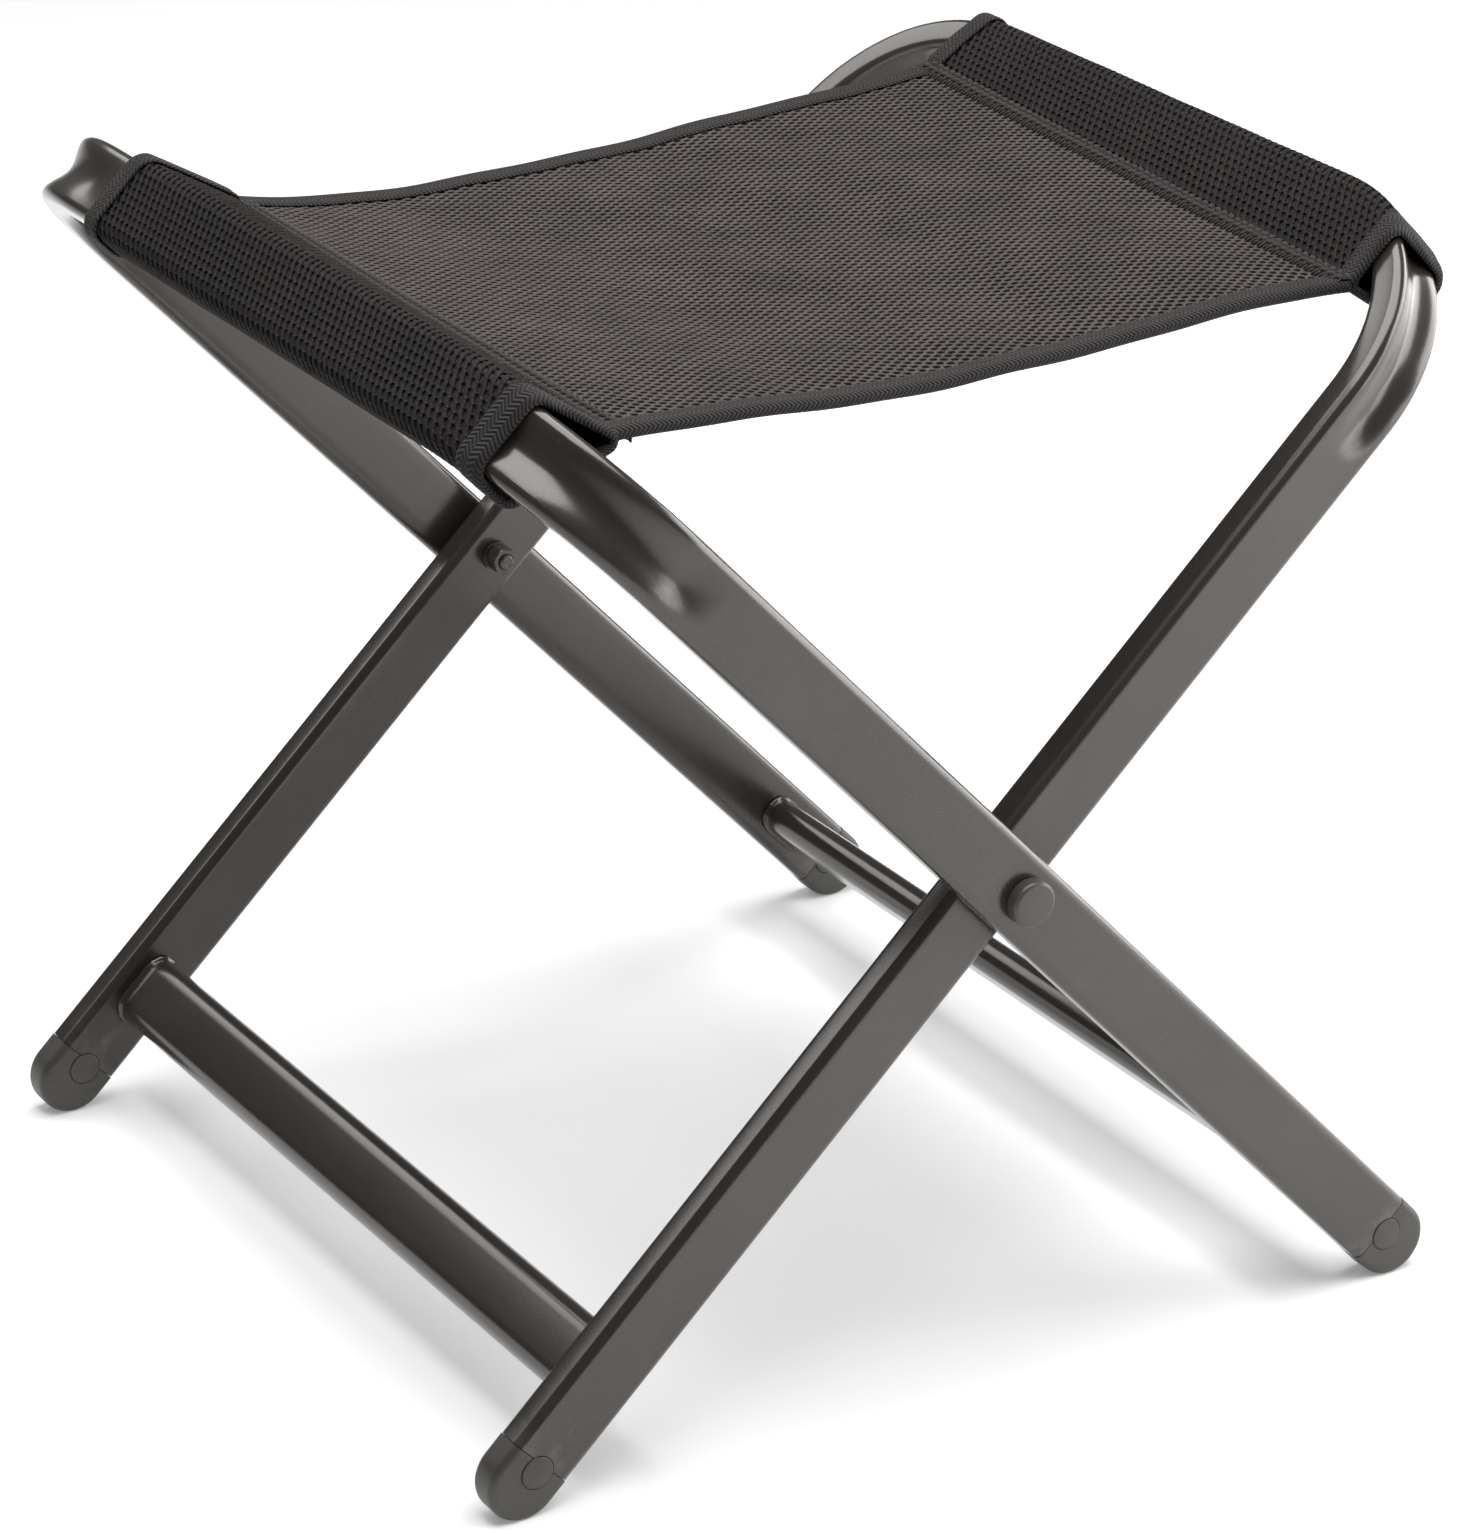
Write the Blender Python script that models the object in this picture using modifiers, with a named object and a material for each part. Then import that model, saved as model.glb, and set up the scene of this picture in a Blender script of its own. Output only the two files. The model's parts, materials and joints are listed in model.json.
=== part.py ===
"""Folding camp stool: two U-shaped flat-oval frames crossed in an X on side pivots,
with a fabric seat slung between their rails.

Metres, +Z up.  The origin is on the floor under the middle of the stool, Y runs along
the rails and the pivot line, and X runs from the outer frame's rail (-X) to the inner
frame's rail (+X).

Each frame is modelled in its own frame of reference: local +X runs down the legs from
the pivot line to the feet, local Y is the stool's Y, and local Z is square to both.
"""

import math

import bmesh
import bpy
from mathutils import Matrix, Vector

# ---------------------------------------------------------------- driving dimensions
TUBE_W = 0.0300            # flat tube: wide face
TUBE_T = 0.0140            # flat tube: narrow face
TUBE_WALL = 0.0012
TUBE_R = 0.0038            # rounding of the tube's edges
OUTER_WIDTH = 0.4120       # outer frame, outside to outside
SIDE_GAP = 0.0020          # between an outer leg and an inner leg
INNER_WIDTH = OUTER_WIDTH - 2 * TUBE_T - 2 * SIDE_GAP

OUTER_LEAN = math.radians(46.15)   # outer legs against the floor
INNER_LEAN = math.radians(44.03)   # inner legs against the floor
OUTER_REACH = 0.2890       # pivot line to the outer face of the outer frame's rail
INNER_REACH = 0.2924       # pivot line to the outer face of the inner frame's rail
OUTER_SEAM = 0.2565        # pivot line to the end of the outer legs' tube
INNER_SEAM = 0.2665        # pivot line to the end of the inner legs' tube
BEND_R = 0.0734            # outside radius of the tube's bends
BEND_STEPS = 9
DENT = 0.0028              # the wide outer face caves in over a bend
DENT_FADE = 0.018          # the dent runs out this far past the bend

FOOT_STRAIGHT = 0.0095     # foot cap: straight length before its round end
FOOT_R = TUBE_W / 2        # foot cap: round end
FOOT_FLAT = 0.0005         # depth of the small flat each foot stands on
FOOT_EDGE = 0.0032
BOSS_R = 0.0065            # round boss of a foot cap, in a notch of the tube's end
BOSS_AT = 0.0035           # boss centre past the tube's end
BOSS_PROUD = 0.0003
PLUG_LENGTH = 0.026

CROSS_AT = 0.2290          # pivot line to the middle of each cross tube
CROSS_W = 0.0300           # flat-oval cross tube, wide way along the legs
CROSS_T = 0.0150
CROSS_WALL = 0.0012

BOLT_R = 0.0030            # M6 pivot bolts
HEAD_R = 0.0060
HEAD_H = 0.0030
COVER_R = 0.0090           # round cover over a bolt head
COVER_H = 0.0058
NUT_AF = 0.0100
NUT_H = 0.0066
GAP = 0.0003               # clearance between touching pieces

SLEEVE_T = 0.0018          # fabric of the sleeves
SLEEVE_EASE = 0.0009       # fabric's clearance round the rail
PANEL_T = 0.0020           # fabric of the seat panel
TAPE_T = 0.0009            # binding tape
TAPE_W = 0.0090

# the seams where a sleeve closes and the panel starts, as (x, z) from the pivot line,
# at the sleeve's near end (-Y) and at its far end (+Y)
LEFT_SLEEVE_Y = (-0.1690, 0.1110)
LEFT_SEAM_NEAR = (-0.1558, 0.1932)
LEFT_SEAM_FAR = (-0.1565, 0.1985)
RIGHT_SLEEVE_Y = (-0.1570, 0.1250)
RIGHT_SEAM_NEAR = (0.1755, 0.1892)
RIGHT_SEAM_FAR = (0.1772, 0.1985)
STRIP_W = 0.0060           # stitched strip along each seam
STRIP_T = 0.0034
SEAM_TIP = 0.0036          # seam point to the sleeve's outermost skin
PANEL_NEAR_Y = -0.1590     # middle of the panel's near edge
PANEL_FAR_Y = 0.1190
CREASE_X = 0.0044          # the panel folds here when the stool closes
SAG_NEAR = 0.0050          # the panel's edges hang below their seams by this much
SAG_FAR = 0.0075

# the pivot line, placed so that the box round the whole stool is centred on X = 0 and
# the feet's flats stand on Z = 0
PIVOT_X = -0.00480
PIVOT_Z = (OUTER_SEAM + FOOT_STRAIGHT) * math.sin(OUTER_LEAN) + FOOT_R - FOOT_FLAT
PIVOT = Vector((PIVOT_X, 0.0, PIVOT_Z))

# ---------------------------------------------------------------- scene and materials
for item in list(bpy.data.objects):
    bpy.data.objects.remove(item, do_unlink=True)


def make_collection(name):
    found = bpy.data.collections.get(name) or bpy.data.collections.new(name)
    if name not in bpy.context.scene.collection.children:
        bpy.context.scene.collection.children.link(found)
    return found


PARTS = make_collection("camp_stool")
CUTTERS = make_collection("cutters")


def make_material(name, colour, roughness, metallic):
    found = bpy.data.materials.new(name)
    found.use_nodes = True
    shader = found.node_tree.nodes["Principled BSDF"]
    shader.inputs["Base Color"].default_value = (*colour, 1.0)
    shader.inputs["Roughness"].default_value = roughness
    shader.inputs["Metallic"].default_value = metallic
    found.diffuse_color = (*colour, 1.0)
    return found


STEEL = ("powder_coated_steel", (0.145, 0.132, 0.120), 0.42, 0.55)
ZINC = ("dark_zinc", (0.20, 0.19, 0.18), 0.40, 0.85)
PLASTIC = ("black_plastic", (0.060, 0.056, 0.048), 0.45, 0.0)
MESH_FABRIC = ("seat_mesh", (0.085, 0.076, 0.070), 0.95, 0.0)
SLEEVE_FABRIC = ("sleeve_knit", (0.060, 0.054, 0.050), 0.95, 0.0)
WEBBING = ("binding_tape", (0.050, 0.046, 0.043), 0.90, 0.0)


def finish_object(obj, material, parent=None, smooth=40.0):
    """Names, files and shades a finished piece."""
    mesh = obj.data
    mesh.materials.clear()
    mesh.materials.append(make_material(obj.name + "_" + material[0], *material[1:]))
    if smooth:
        mesh.shade_smooth()
        mesh.set_sharp_from_angle(angle=math.radians(smooth))
    if obj.name not in PARTS.objects:
        PARTS.objects.link(obj)
    if parent is not None:
        obj.parent = parent
    return obj


def empty_at(name, matrix):
    found = bpy.data.objects.new(name, None)
    found.matrix_world = matrix
    found.empty_display_size = 0.03
    PARTS.objects.link(found)
    return found


def mesh_object(name, bm, collection=None):
    bmesh.ops.recalc_face_normals(bm, faces=bm.faces)
    mesh = bpy.data.meshes.new(name)
    bm.to_mesh(mesh)
    bm.free()
    obj = bpy.data.objects.new(name, mesh)
    (collection or PARTS).objects.link(obj)
    return obj


def as_cutter(obj, parent=None):
    obj.hide_render = True
    obj.display_type = "WIRE"
    if parent is not None:
        obj.parent = parent
    return obj


def boolean(obj, other, operation):
    cut = obj.modifiers.new(operation.lower() + "_" + other.name, "BOOLEAN")
    cut.operation = operation
    cut.solver = "EXACT"
    cut.object = other


def cylinder_cutter(name, radius, half_length, at, parent, steps=32):
    """A cylinder along local Y."""
    bm = bmesh.new()
    bmesh.ops.create_cone(bm, cap_ends=True, segments=steps, radius1=radius, radius2=radius, depth=2 * half_length,
                          matrix=Matrix.Translation(at) @ Matrix.Rotation(math.pi / 2, 4, "X"))
    return as_cutter(mesh_object(name, bm, CUTTERS), parent)


def box_cutter(name, low, high, parent=None):
    bm = bmesh.new()
    size = Vector(high) - Vector(low)
    middle = (Vector(high) + Vector(low)) / 2
    bmesh.ops.create_cube(bm, size=1.0, matrix=Matrix.Translation(middle) @ Matrix.Diagonal((*size, 1.0)))
    return as_cutter(mesh_object(name, bm, CUTTERS), parent)


# the axes that the two frames are modelled about
outer_axis = empty_at("outer_frame_axis", Matrix.Translation(PIVOT) @ Matrix.Rotation(OUTER_LEAN, 4, "Y"))
inner_axis = empty_at("inner_frame_axis", Matrix.Translation(PIVOT) @ Matrix.Rotation(math.pi - INNER_LEAN, 4, "Y"))


# ---------------------------------------------------------------- the two tube frames
def tube_section(half_t, half_w, radius, dent, dent_half):
    """Outline of the flat tube as (outward, z) pairs, with its outward face caved in."""
    points = []
    corners = (
        (half_t - radius, half_w - radius, 90.0),
        (-half_t + radius, half_w - radius, 180.0),
        (-half_t + radius, -half_w + radius, 270.0),
        (half_t - radius, -half_w + radius, 360.0),
    )
    steps = 3
    for n, z, stop in corners:
        for k in range(steps + 1):
            a = math.radians(stop - 90.0 + 90.0 * k / steps)
            points.append((n + radius * math.cos(a), z + radius * math.sin(a)))
    for k in (-1, 0, 1):
        z = k * dent_half * 0.5
        points.append((half_t - dent * math.cos(math.pi * 0.5 * z / dent_half) ** 2, z))
    return points


def frame_stations(width, reach, seam):
    """(centre, outward direction, dent) along one U: up a leg, round, across, and down."""
    leg_y = width / 2 - TUBE_T / 2
    arc_x, arc_y = -reach + BEND_R, width / 2 - BEND_R
    mid_r = BEND_R - TUBE_T / 2
    half = []
    for x in (seam, seam - 0.012, 0.020, -0.020, arc_x + DENT_FADE, arc_x + DENT_FADE * 0.5):
        past = (x - arc_x) / DENT_FADE
        dent = DENT * 0.5 * (1 + math.cos(math.pi * min(1.0, past))) * 0.6
        half.append((Vector((x, -leg_y, 0)), Vector((0, -1, 0)), dent))
    for k in range(BEND_STEPS + 1):
        a = math.pi / 2 * k / BEND_STEPS
        out = Vector((-math.sin(a), -math.cos(a), 0))
        dent = DENT * (0.6 + 0.4 * math.sin(math.pi * k / BEND_STEPS))
        half.append((Vector((arc_x, -arc_y, 0)) + out * mid_r, out, dent))
    for past in (0.5, 1.0):
        dent = DENT * 0.5 * (1 + math.cos(math.pi * past)) * 0.6
        half.append((Vector((-reach + TUBE_T / 2, -arc_y + DENT_FADE * past, 0)), Vector((-1, 0, 0)), dent))
    other = [(Vector((c.x, -c.y, 0)), Vector((o.x, -o.y, 0)), d) for c, o, d in reversed(half)]
    return half + other


def frame_tube(name, width, reach, seam, axis, pivot_hole_r):
    bm = bmesh.new()
    skins = []
    for wall in (0.0, TUBE_WALL):
        loops = []
        for centre, out, dent in frame_stations(width, reach, seam):
            outline = tube_section(TUBE_T / 2 - wall, TUBE_W / 2 - wall, TUBE_R - wall, dent, TUBE_W / 2 - TUBE_R)
            loops.append([bm.verts.new(centre + out * n + Vector((0, 0, z))) for n, z in outline])
        for a, b in zip(loops, loops[1:]):
            for i in range(len(a)):
                j = (i + 1) % len(a)
                bm.faces.new((a[i], a[j], b[j], b[i]))
        skins.append(loops)
    for end in (0, -1):
        a, b = skins[0][end], skins[1][end]
        for i in range(len(a)):
            j = (i + 1) % len(a)
            bm.faces.new((a[i], a[j], b[j], b[i]))
    obj = mesh_object(name, bm)
    finish_object(obj, STEEL, axis)
    leg_y = width / 2 - TUBE_T / 2
    for side, sign in (("near", -1), ("far", 1)):
        hole = cylinder_cutter(f"{name}_{side}_pivot_hole", pivot_hole_r, TUBE_T, (0, sign * leg_y, 0), axis, 24)
        boolean(obj, hole, "DIFFERENCE")
        notch = cylinder_cutter(f"{name}_{side}_notch", BOSS_R + GAP, TUBE_T, (seam + BOSS_AT, sign * leg_y, 0), axis, 24)
        boolean(obj, notch, "DIFFERENCE")
    return obj


outer_tube = frame_tube("outer_frame_tube", OUTER_WIDTH, OUTER_REACH, OUTER_SEAM, outer_axis, BOLT_R + 0.0004)
inner_tube = frame_tube("inner_frame_tube", INNER_WIDTH, INNER_REACH, INNER_SEAM, inner_axis, 0.0046)


# ---------------------------------------------------------------- cross tubes
def outline_object(name, loops, thickness):
    """A flat outline with holes, standing thickness tall about its own XY plane."""
    curve = bpy.data.curves.new(name, "CURVE")
    curve.dimensions = "2D"
    curve.fill_mode = "BOTH"
    curve.extrude = thickness / 2
    for loop in loops:
        spline = curve.splines.new("POLY")
        spline.points.add(len(loop) - 1)
        for point, (x, y) in zip(spline.points, loop):
            point.co = (x, y, 0, 1)
        spline.use_cyclic_u = True
    guide = bpy.data.objects.new(name + "_outline", curve)
    CUTTERS.objects.link(guide)
    bpy.context.view_layer.update()
    mesh = bpy.data.meshes.new_from_object(guide.evaluated_get(bpy.context.evaluated_depsgraph_get()))
    mesh.name = name
    bm = bmesh.new()
    bm.from_mesh(mesh)
    bmesh.ops.remove_doubles(bm, verts=bm.verts, dist=1e-6)
    bmesh.ops.recalc_face_normals(bm, faces=bm.faces)
    bm.to_mesh(mesh)
    bm.free()
    obj = bpy.data.objects.new(name, mesh)
    obj.matrix_world = guide.matrix_world
    PARTS.objects.link(obj)
    bpy.data.objects.remove(guide, do_unlink=True)
    return obj


def round_end_outline(long_way, short_way, steps=10):
    r = short_way / 2
    d = long_way / 2 - r
    points = []
    for sign, start in ((1, -90.0), (-1, 90.0)):
        for k in range(steps + 1):
            a = math.radians(start + 180.0 * k / steps)
            points.append((sign * d + r * math.cos(a), r * math.sin(a)))
    return points


def circle_outline(radius, steps):
    return [(radius * math.cos(2 * math.pi * k / steps), radius * math.sin(2 * math.pi * k / steps)) for k in range(steps)]


def cross_tube(name, width, axis):
    length = width - 2 * TUBE_T - 2 * GAP
    loops = [round_end_outline(CROSS_W, CROSS_T), round_end_outline(CROSS_W - 2 * CROSS_WALL, CROSS_T - 2 * CROSS_WALL)]
    obj = outline_object(name, loops, length)
    # the outline's X stays along the legs, and its extrusion turns to run along Y
    obj.location = (CROSS_AT, 0, 0)
    obj.rotation_euler = (math.pi / 2, 0, 0)
    return finish_object(obj, STEEL, axis)


cross_tube("outer_cross_tube", OUTER_WIDTH, outer_axis)
cross_tube("inner_cross_tube", INNER_WIDTH, inner_axis)


# ---------------------------------------------------------------- foot caps
def foot_cap(name, seam, y, axis):
    """A cap with a round end, its plug inside the tube and its boss in the tube's notch."""
    bm = bmesh.new()
    steps = 16
    start, centre = seam + GAP, seam + FOOT_STRAIGHT
    outline = [(start, -FOOT_R)]
    for k in range(steps + 1):
        a = math.radians(-90.0 + 180.0 * k / steps)
        outline.append((centre + FOOT_R * math.cos(a), FOOT_R * math.sin(a)))
    outline.append((start, FOOT_R))
    verts = [bm.verts.new((x, -TUBE_T / 2, z)) for x, z in outline]
    base = bm.faces.new(verts)
    grown = bmesh.ops.extrude_face_region(bm, geom=[base])
    moved = [g for g in grown["geom"] if isinstance(g, bmesh.types.BMVert)]
    bmesh.ops.translate(bm, verts=moved, vec=(0, TUBE_T, 0))
    rim = []
    for edge in bm.edges:
        a, b = edge.verts
        flat = abs(a.co.y - b.co.y) < 1e-6
        on_seam = abs(a.co.x - start) < 1e-6 and abs(b.co.x - start) < 1e-6
        if flat and not on_seam:
            rim.append(edge)
    bmesh.ops.bevel(bm, geom=rim, offset=FOOT_EDGE, segments=3, profile=0.5, affect="EDGES")
    bmesh.ops.translate(bm, verts=bm.verts, vec=(0, y, 0))
    obj = mesh_object(name, bm)
    finish_object(obj, PLASTIC, axis)
    half_t, half_w = TUBE_T / 2 - TUBE_WALL - 0.0004, TUBE_W / 2 - TUBE_WALL - 0.0030
    plug = box_cutter(name + "_plug", (seam - PLUG_LENGTH, y - half_t, -half_w), (seam + 0.004, y + half_t, half_w), axis)
    boolean(obj, plug, "UNION")
    boss = cylinder_cutter(name + "_boss", BOSS_R, TUBE_T / 2 + BOSS_PROUD, (seam + BOSS_AT, y, 0), axis, 24)
    boolean(obj, boss, "UNION")
    boolean(obj, floor_cutter, "DIFFERENCE")
    return obj


floor_cutter = box_cutter("floor_cutter", (-0.4, -0.3, -0.05), (0.4, 0.3, 0.0))
outer_leg_y = OUTER_WIDTH / 2 - TUBE_T / 2
inner_leg_y = INNER_WIDTH / 2 - TUBE_T / 2
foot_cap("outer_foot_cap_near", OUTER_SEAM, -outer_leg_y, outer_axis)
foot_cap("outer_foot_cap_far", OUTER_SEAM, outer_leg_y, outer_axis)
foot_cap("inner_foot_cap_near", INNER_SEAM, -inner_leg_y, inner_axis)
foot_cap("inner_foot_cap_far", INNER_SEAM, inner_leg_y, inner_axis)


# ---------------------------------------------------------------- pivots
def turned(name, profile, closed, material, side, steps=24):
    """A turned piece on the pivot line: profile is (radius, distance from mid-stool)."""
    bm = bmesh.new()
    verts = [bm.verts.new((r, 0, z)) for r, z in profile]
    pairs = list(zip(verts, verts[1:])) + ([(verts[-1], verts[0])] if closed else [])
    for a, b in pairs:
        bm.edges.new((a, b))
    mesh = bpy.data.meshes.new(name)
    bm.to_mesh(mesh)
    bm.free()
    obj = bpy.data.objects.new(name, mesh)
    PARTS.objects.link(obj)
    spin = obj.modifiers.new("turn", "SCREW")
    spin.axis = "Z"
    spin.steps = spin.render_steps = steps
    spin.use_merge_vertices = True
    spin.merge_threshold = 0.00001
    obj.location = PIVOT
    # local +Z points out of the stool's side
    obj.rotation_euler = (math.pi / 2 if side < 0 else -math.pi / 2, 0, 0)
    mesh.materials.append(make_material(name + "_" + material[0], *material[1:]))
    return obj


outer_face = OUTER_WIDTH / 2
outer_inside = outer_face - TUBE_T
inner_face = INNER_WIDTH / 2
inner_inside = inner_face - TUBE_T
for side, sign in (("near", -1), ("far", 1)):
    under_head = outer_face + GAP
    nut_out = inner_inside - 0.0018
    turned(f"pivot_bolt_{side}", [
        (0, under_head + HEAD_H), (HEAD_R - 0.0008, under_head + HEAD_H), (HEAD_R, under_head + HEAD_H - 0.0010),
        (HEAD_R, under_head), (BOLT_R, under_head), (BOLT_R, nut_out - NUT_H - 0.0008),
        (BOLT_R - 0.0006, nut_out - NUT_H - 0.0014), (0, nut_out - NUT_H - 0.0014)], False, ZINC, sign, 20)
    turned(f"pivot_cover_{side}", [
        (0, under_head + COVER_H), (COVER_R - 0.0022, under_head + COVER_H), (COVER_R - 0.0007, under_head + COVER_H - 0.0007),
        (COVER_R, under_head + COVER_H - 0.0022), (COVER_R, under_head),
        (COVER_R - 0.0014, under_head), (COVER_R - 0.0014, under_head + HEAD_H + 0.0010), (0, under_head + HEAD_H + 0.0010)],
        False, PLASTIC, sign, 28)
    turned(f"spacer_washer_{side}", [
        (0.0080, outer_inside - GAP), (0.0080, inner_face + GAP), (BOLT_R + 0.0003, inner_face + GAP),
        (BOLT_R + 0.0003, outer_inside - GAP)], True, PLASTIC, sign, 24)
    turned(f"pivot_bush_{side}", [
        (0.0043, inner_face - GAP), (0.0043, inner_inside + GAP), (BOLT_R + 0.0003, inner_inside + GAP),
        (BOLT_R + 0.0003, inner_face - GAP)], True, PLASTIC, sign, 20)
    turned(f"nut_washer_{side}", [
        (0.0062, inner_inside - GAP), (0.0062, nut_out + GAP), (BOLT_R + 0.0003, nut_out + GAP),
        (BOLT_R + 0.0003, inner_inside - GAP)], True, ZINC, sign, 24)
    nut = outline_object(f"pivot_nut_{side}", [circle_outline(NUT_AF / 2 / math.cos(math.pi / 6), 6), circle_outline(BOLT_R + 0.0003, 18)], NUT_H)
    nut.location = PIVOT + Vector((0, sign * (nut_out - NUT_H / 2), 0))
    nut.rotation_euler = (math.pi / 2, 0, 0)
    finish_object(nut, ZINC, None, 30.0)


# ---------------------------------------------------------------- fabric sleeves
def to_leg_frame(axis, point):
    """(x, z) from the pivot line, in the leg frame of one of the two axes."""
    moved = axis.matrix_world.to_3x3().inverted() @ Vector((point[0], 0, point[1]))
    return moved.x, moved.z


SECTION_ANGLES = (0, 10, 20, 30, 41, 52, 58.5, 65, 72, 79, 90, 101, 108, 115, 121.5, 128, 150, 180)
SECTION_ANGLES += tuple(360 - a for a in reversed(SECTION_ANGLES[1:-1]))


def sleeve_section(width, reach, y, seam, spread):
    """The taut outline round the rail's section at y and the seam, spread outwards."""
    over = max(0.0, abs(y) - (width / 2 - BEND_R))
    outside = -reach + BEND_R - math.sqrt(BEND_R**2 - over**2)
    inside = -reach + BEND_R - math.sqrt((BEND_R - TUBE_T - 0.0004) ** 2 - over**2)
    r = TUBE_R
    rounds = [(outside + r, TUBE_W / 2 - r, r), (outside + r, -TUBE_W / 2 + r, r),
              (inside - r, TUBE_W / 2 - r, r), (inside - r, -TUBE_W / 2 + r, r), (seam[0], seam[1], 0.0006)]
    centre = (outside + inside) / 2
    sides = []
    for k in range(180):
        n = (math.cos(k * math.pi / 90), math.sin(k * math.pi / 90))
        sides.append((n, max((x - centre) * n[0] + z * n[1] + radius for x, z, radius in rounds) + spread))
    points = []
    for degrees in SECTION_ANGLES:
        d = (math.cos(math.radians(degrees)), math.sin(math.radians(degrees)))
        # the outline is met where the ray crosses the nearest of its tangent lines
        reaches = [h / (n[0] * d[0] + n[1] * d[1]) for n, h in sides if n[0] * d[0] + n[1] * d[1] > 0.02]
        points.append(Vector((centre + d[0] * min(reaches), y, d[1] * min(reaches))))
    return points


def sleeve_surface(name, width, reach, ys, span, seams, spread, thickness, axis, material):
    """An open-ended fabric tube between the first and last of ys, given its thickness by Solidify."""
    near, far = (to_leg_frame(axis, p) for p in seams)
    bm = bmesh.new()
    loops = []
    for y in ys:
        t = (y - span[0]) / (span[1] - span[0])
        seam = (near[0] + (far[0] - near[0]) * t, near[1] + (far[1] - near[1]) * t)
        loops.append([bm.verts.new(p) for p in sleeve_section(width, reach, y, seam, spread)])
    for a, b in zip(loops, loops[1:]):
        for i in range(len(a)):
            j = (i + 1) % len(a)
            bm.faces.new((a[i], a[j], b[j], b[i]))
    obj = mesh_object(name, bm)
    finish_object(obj, material, axis, 0)
    thick = obj.modifiers.new("fabric", "SOLIDIFY")
    thick.thickness = thickness
    thick.offset = 0.0
    return obj


bpy.context.view_layer.update()
SLEEVES = (
    ("left", OUTER_WIDTH, OUTER_REACH, LEFT_SLEEVE_Y, (LEFT_SEAM_NEAR, LEFT_SEAM_FAR), outer_axis),
    ("right", INNER_WIDTH, INNER_REACH, RIGHT_SLEEVE_Y, (RIGHT_SEAM_NEAR, RIGHT_SEAM_FAR), inner_axis),
)
for side, width, reach, span, seams, axis in SLEEVES:
    bend_y = width / 2 - BEND_R
    over_bend = [-bend_y - 0.009 * k for k in range(5)]
    ys = sorted({span[0], span[1]} | {y for y in (*over_bend, bend_y) if span[0] + 0.002 < y < span[1]})
    spread = SLEEVE_EASE + SLEEVE_T / 2
    sleeve_surface(f"seat_sleeve_{side}", width, reach, ys, span, seams, spread, SLEEVE_T, axis, SLEEVE_FABRIC)
    outside = SLEEVE_EASE + SLEEVE_T + 0.0007 + TAPE_T / 2
    for end, ends in (("near", (span[0], span[0] + TAPE_W)), ("far", (span[1] - TAPE_W, span[1]))):
        stations = sorted({*ends} | {y for y in ys if ends[0] < y < ends[1]})
        sleeve_surface(f"sleeve_binding_{side}_{end}", width, reach, stations, span, seams, outside, TAPE_T, axis, WEBBING)


# ---------------------------------------------------------------- seat panel
def mix(a, b, t):
    return a + (b - a) * t


def seam_edge(side, y):
    """(x, z) of the panel's edge beside its seam strip, at y, from the pivot line."""
    near, far, span, inward = (
        (LEFT_SEAM_NEAR, LEFT_SEAM_FAR, LEFT_SLEEVE_Y, 1) if side == "left"
        else (RIGHT_SEAM_NEAR, RIGHT_SEAM_FAR, RIGHT_SLEEVE_Y, -1)
    )
    t = (y - span[0]) / (span[1] - span[0])
    reach = SEAM_TIP + STRIP_W + 2 * GAP
    return mix(near[0], far[0], t) + inward * reach, mix(near[1], far[1], t) - 0.0012


def panel_edge_y(u, far):
    """The panel's near and far edges run a little askew between the two sleeves."""
    left, right = (LEFT_SLEEVE_Y, RIGHT_SLEEVE_Y)
    return mix(left[1], right[1], u) - 0.0010 if far else mix(left[0], right[0], u) + 0.0010


def panel_point(u, v):
    """A point of the panel's middle surface, from the pivot line: u runs left to right, v near to far."""
    y = mix(panel_edge_y(u, False), panel_edge_y(u, True), v)
    x0, z0 = seam_edge("left", y)
    x1, z1 = seam_edge("right", y)
    sag = mix(SAG_NEAR, SAG_FAR, v) + 0.0015 * 4 * v * (1 - v)
    return Vector((mix(x0, x1, u), y, mix(z0, z1, u) - sag * 4 * u * (1 - u)))


left_edge = panel_point(0.0, 0.5)
right_edge = panel_point(1.0, 0.5)
CREASE_U = (CREASE_X - left_edge.x) / (right_edge.x - left_edge.x)
left_hinge = empty_at("seat_left_axis", Matrix.Translation(PIVOT + Vector((left_edge.x, 0, left_edge.z))))
right_hinge = empty_at("seat_right_axis", Matrix.Translation(PIVOT + Vector((right_edge.x, 0, right_edge.z))))
bpy.context.view_layer.update()


def panel_half(name, u0, u1, hinge):
    """One half of the seat panel, from its seam to the crease."""
    columns, rows = 6, 4
    tape = 0.0014 / (PANEL_FAR_Y - PANEL_NEAR_Y)
    bm = bmesh.new()
    bmesh.ops.create_grid(bm, x_segments=columns, y_segments=rows, size=0.5)
    for vert in bm.verts:
        u = mix(u0, u1, vert.co.x + 0.5)
        v = mix(tape, 1 - tape, vert.co.y + 0.5)
        vert.co = PIVOT + panel_point(u, v) - hinge.location
    obj = mesh_object(name, bm)
    finish_object(obj, MESH_FABRIC, hinge, 0)
    thick = obj.modifiers.new("fabric", "SOLIDIFY")
    thick.thickness = PANEL_T
    thick.offset = 0.0
    return obj


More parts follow.
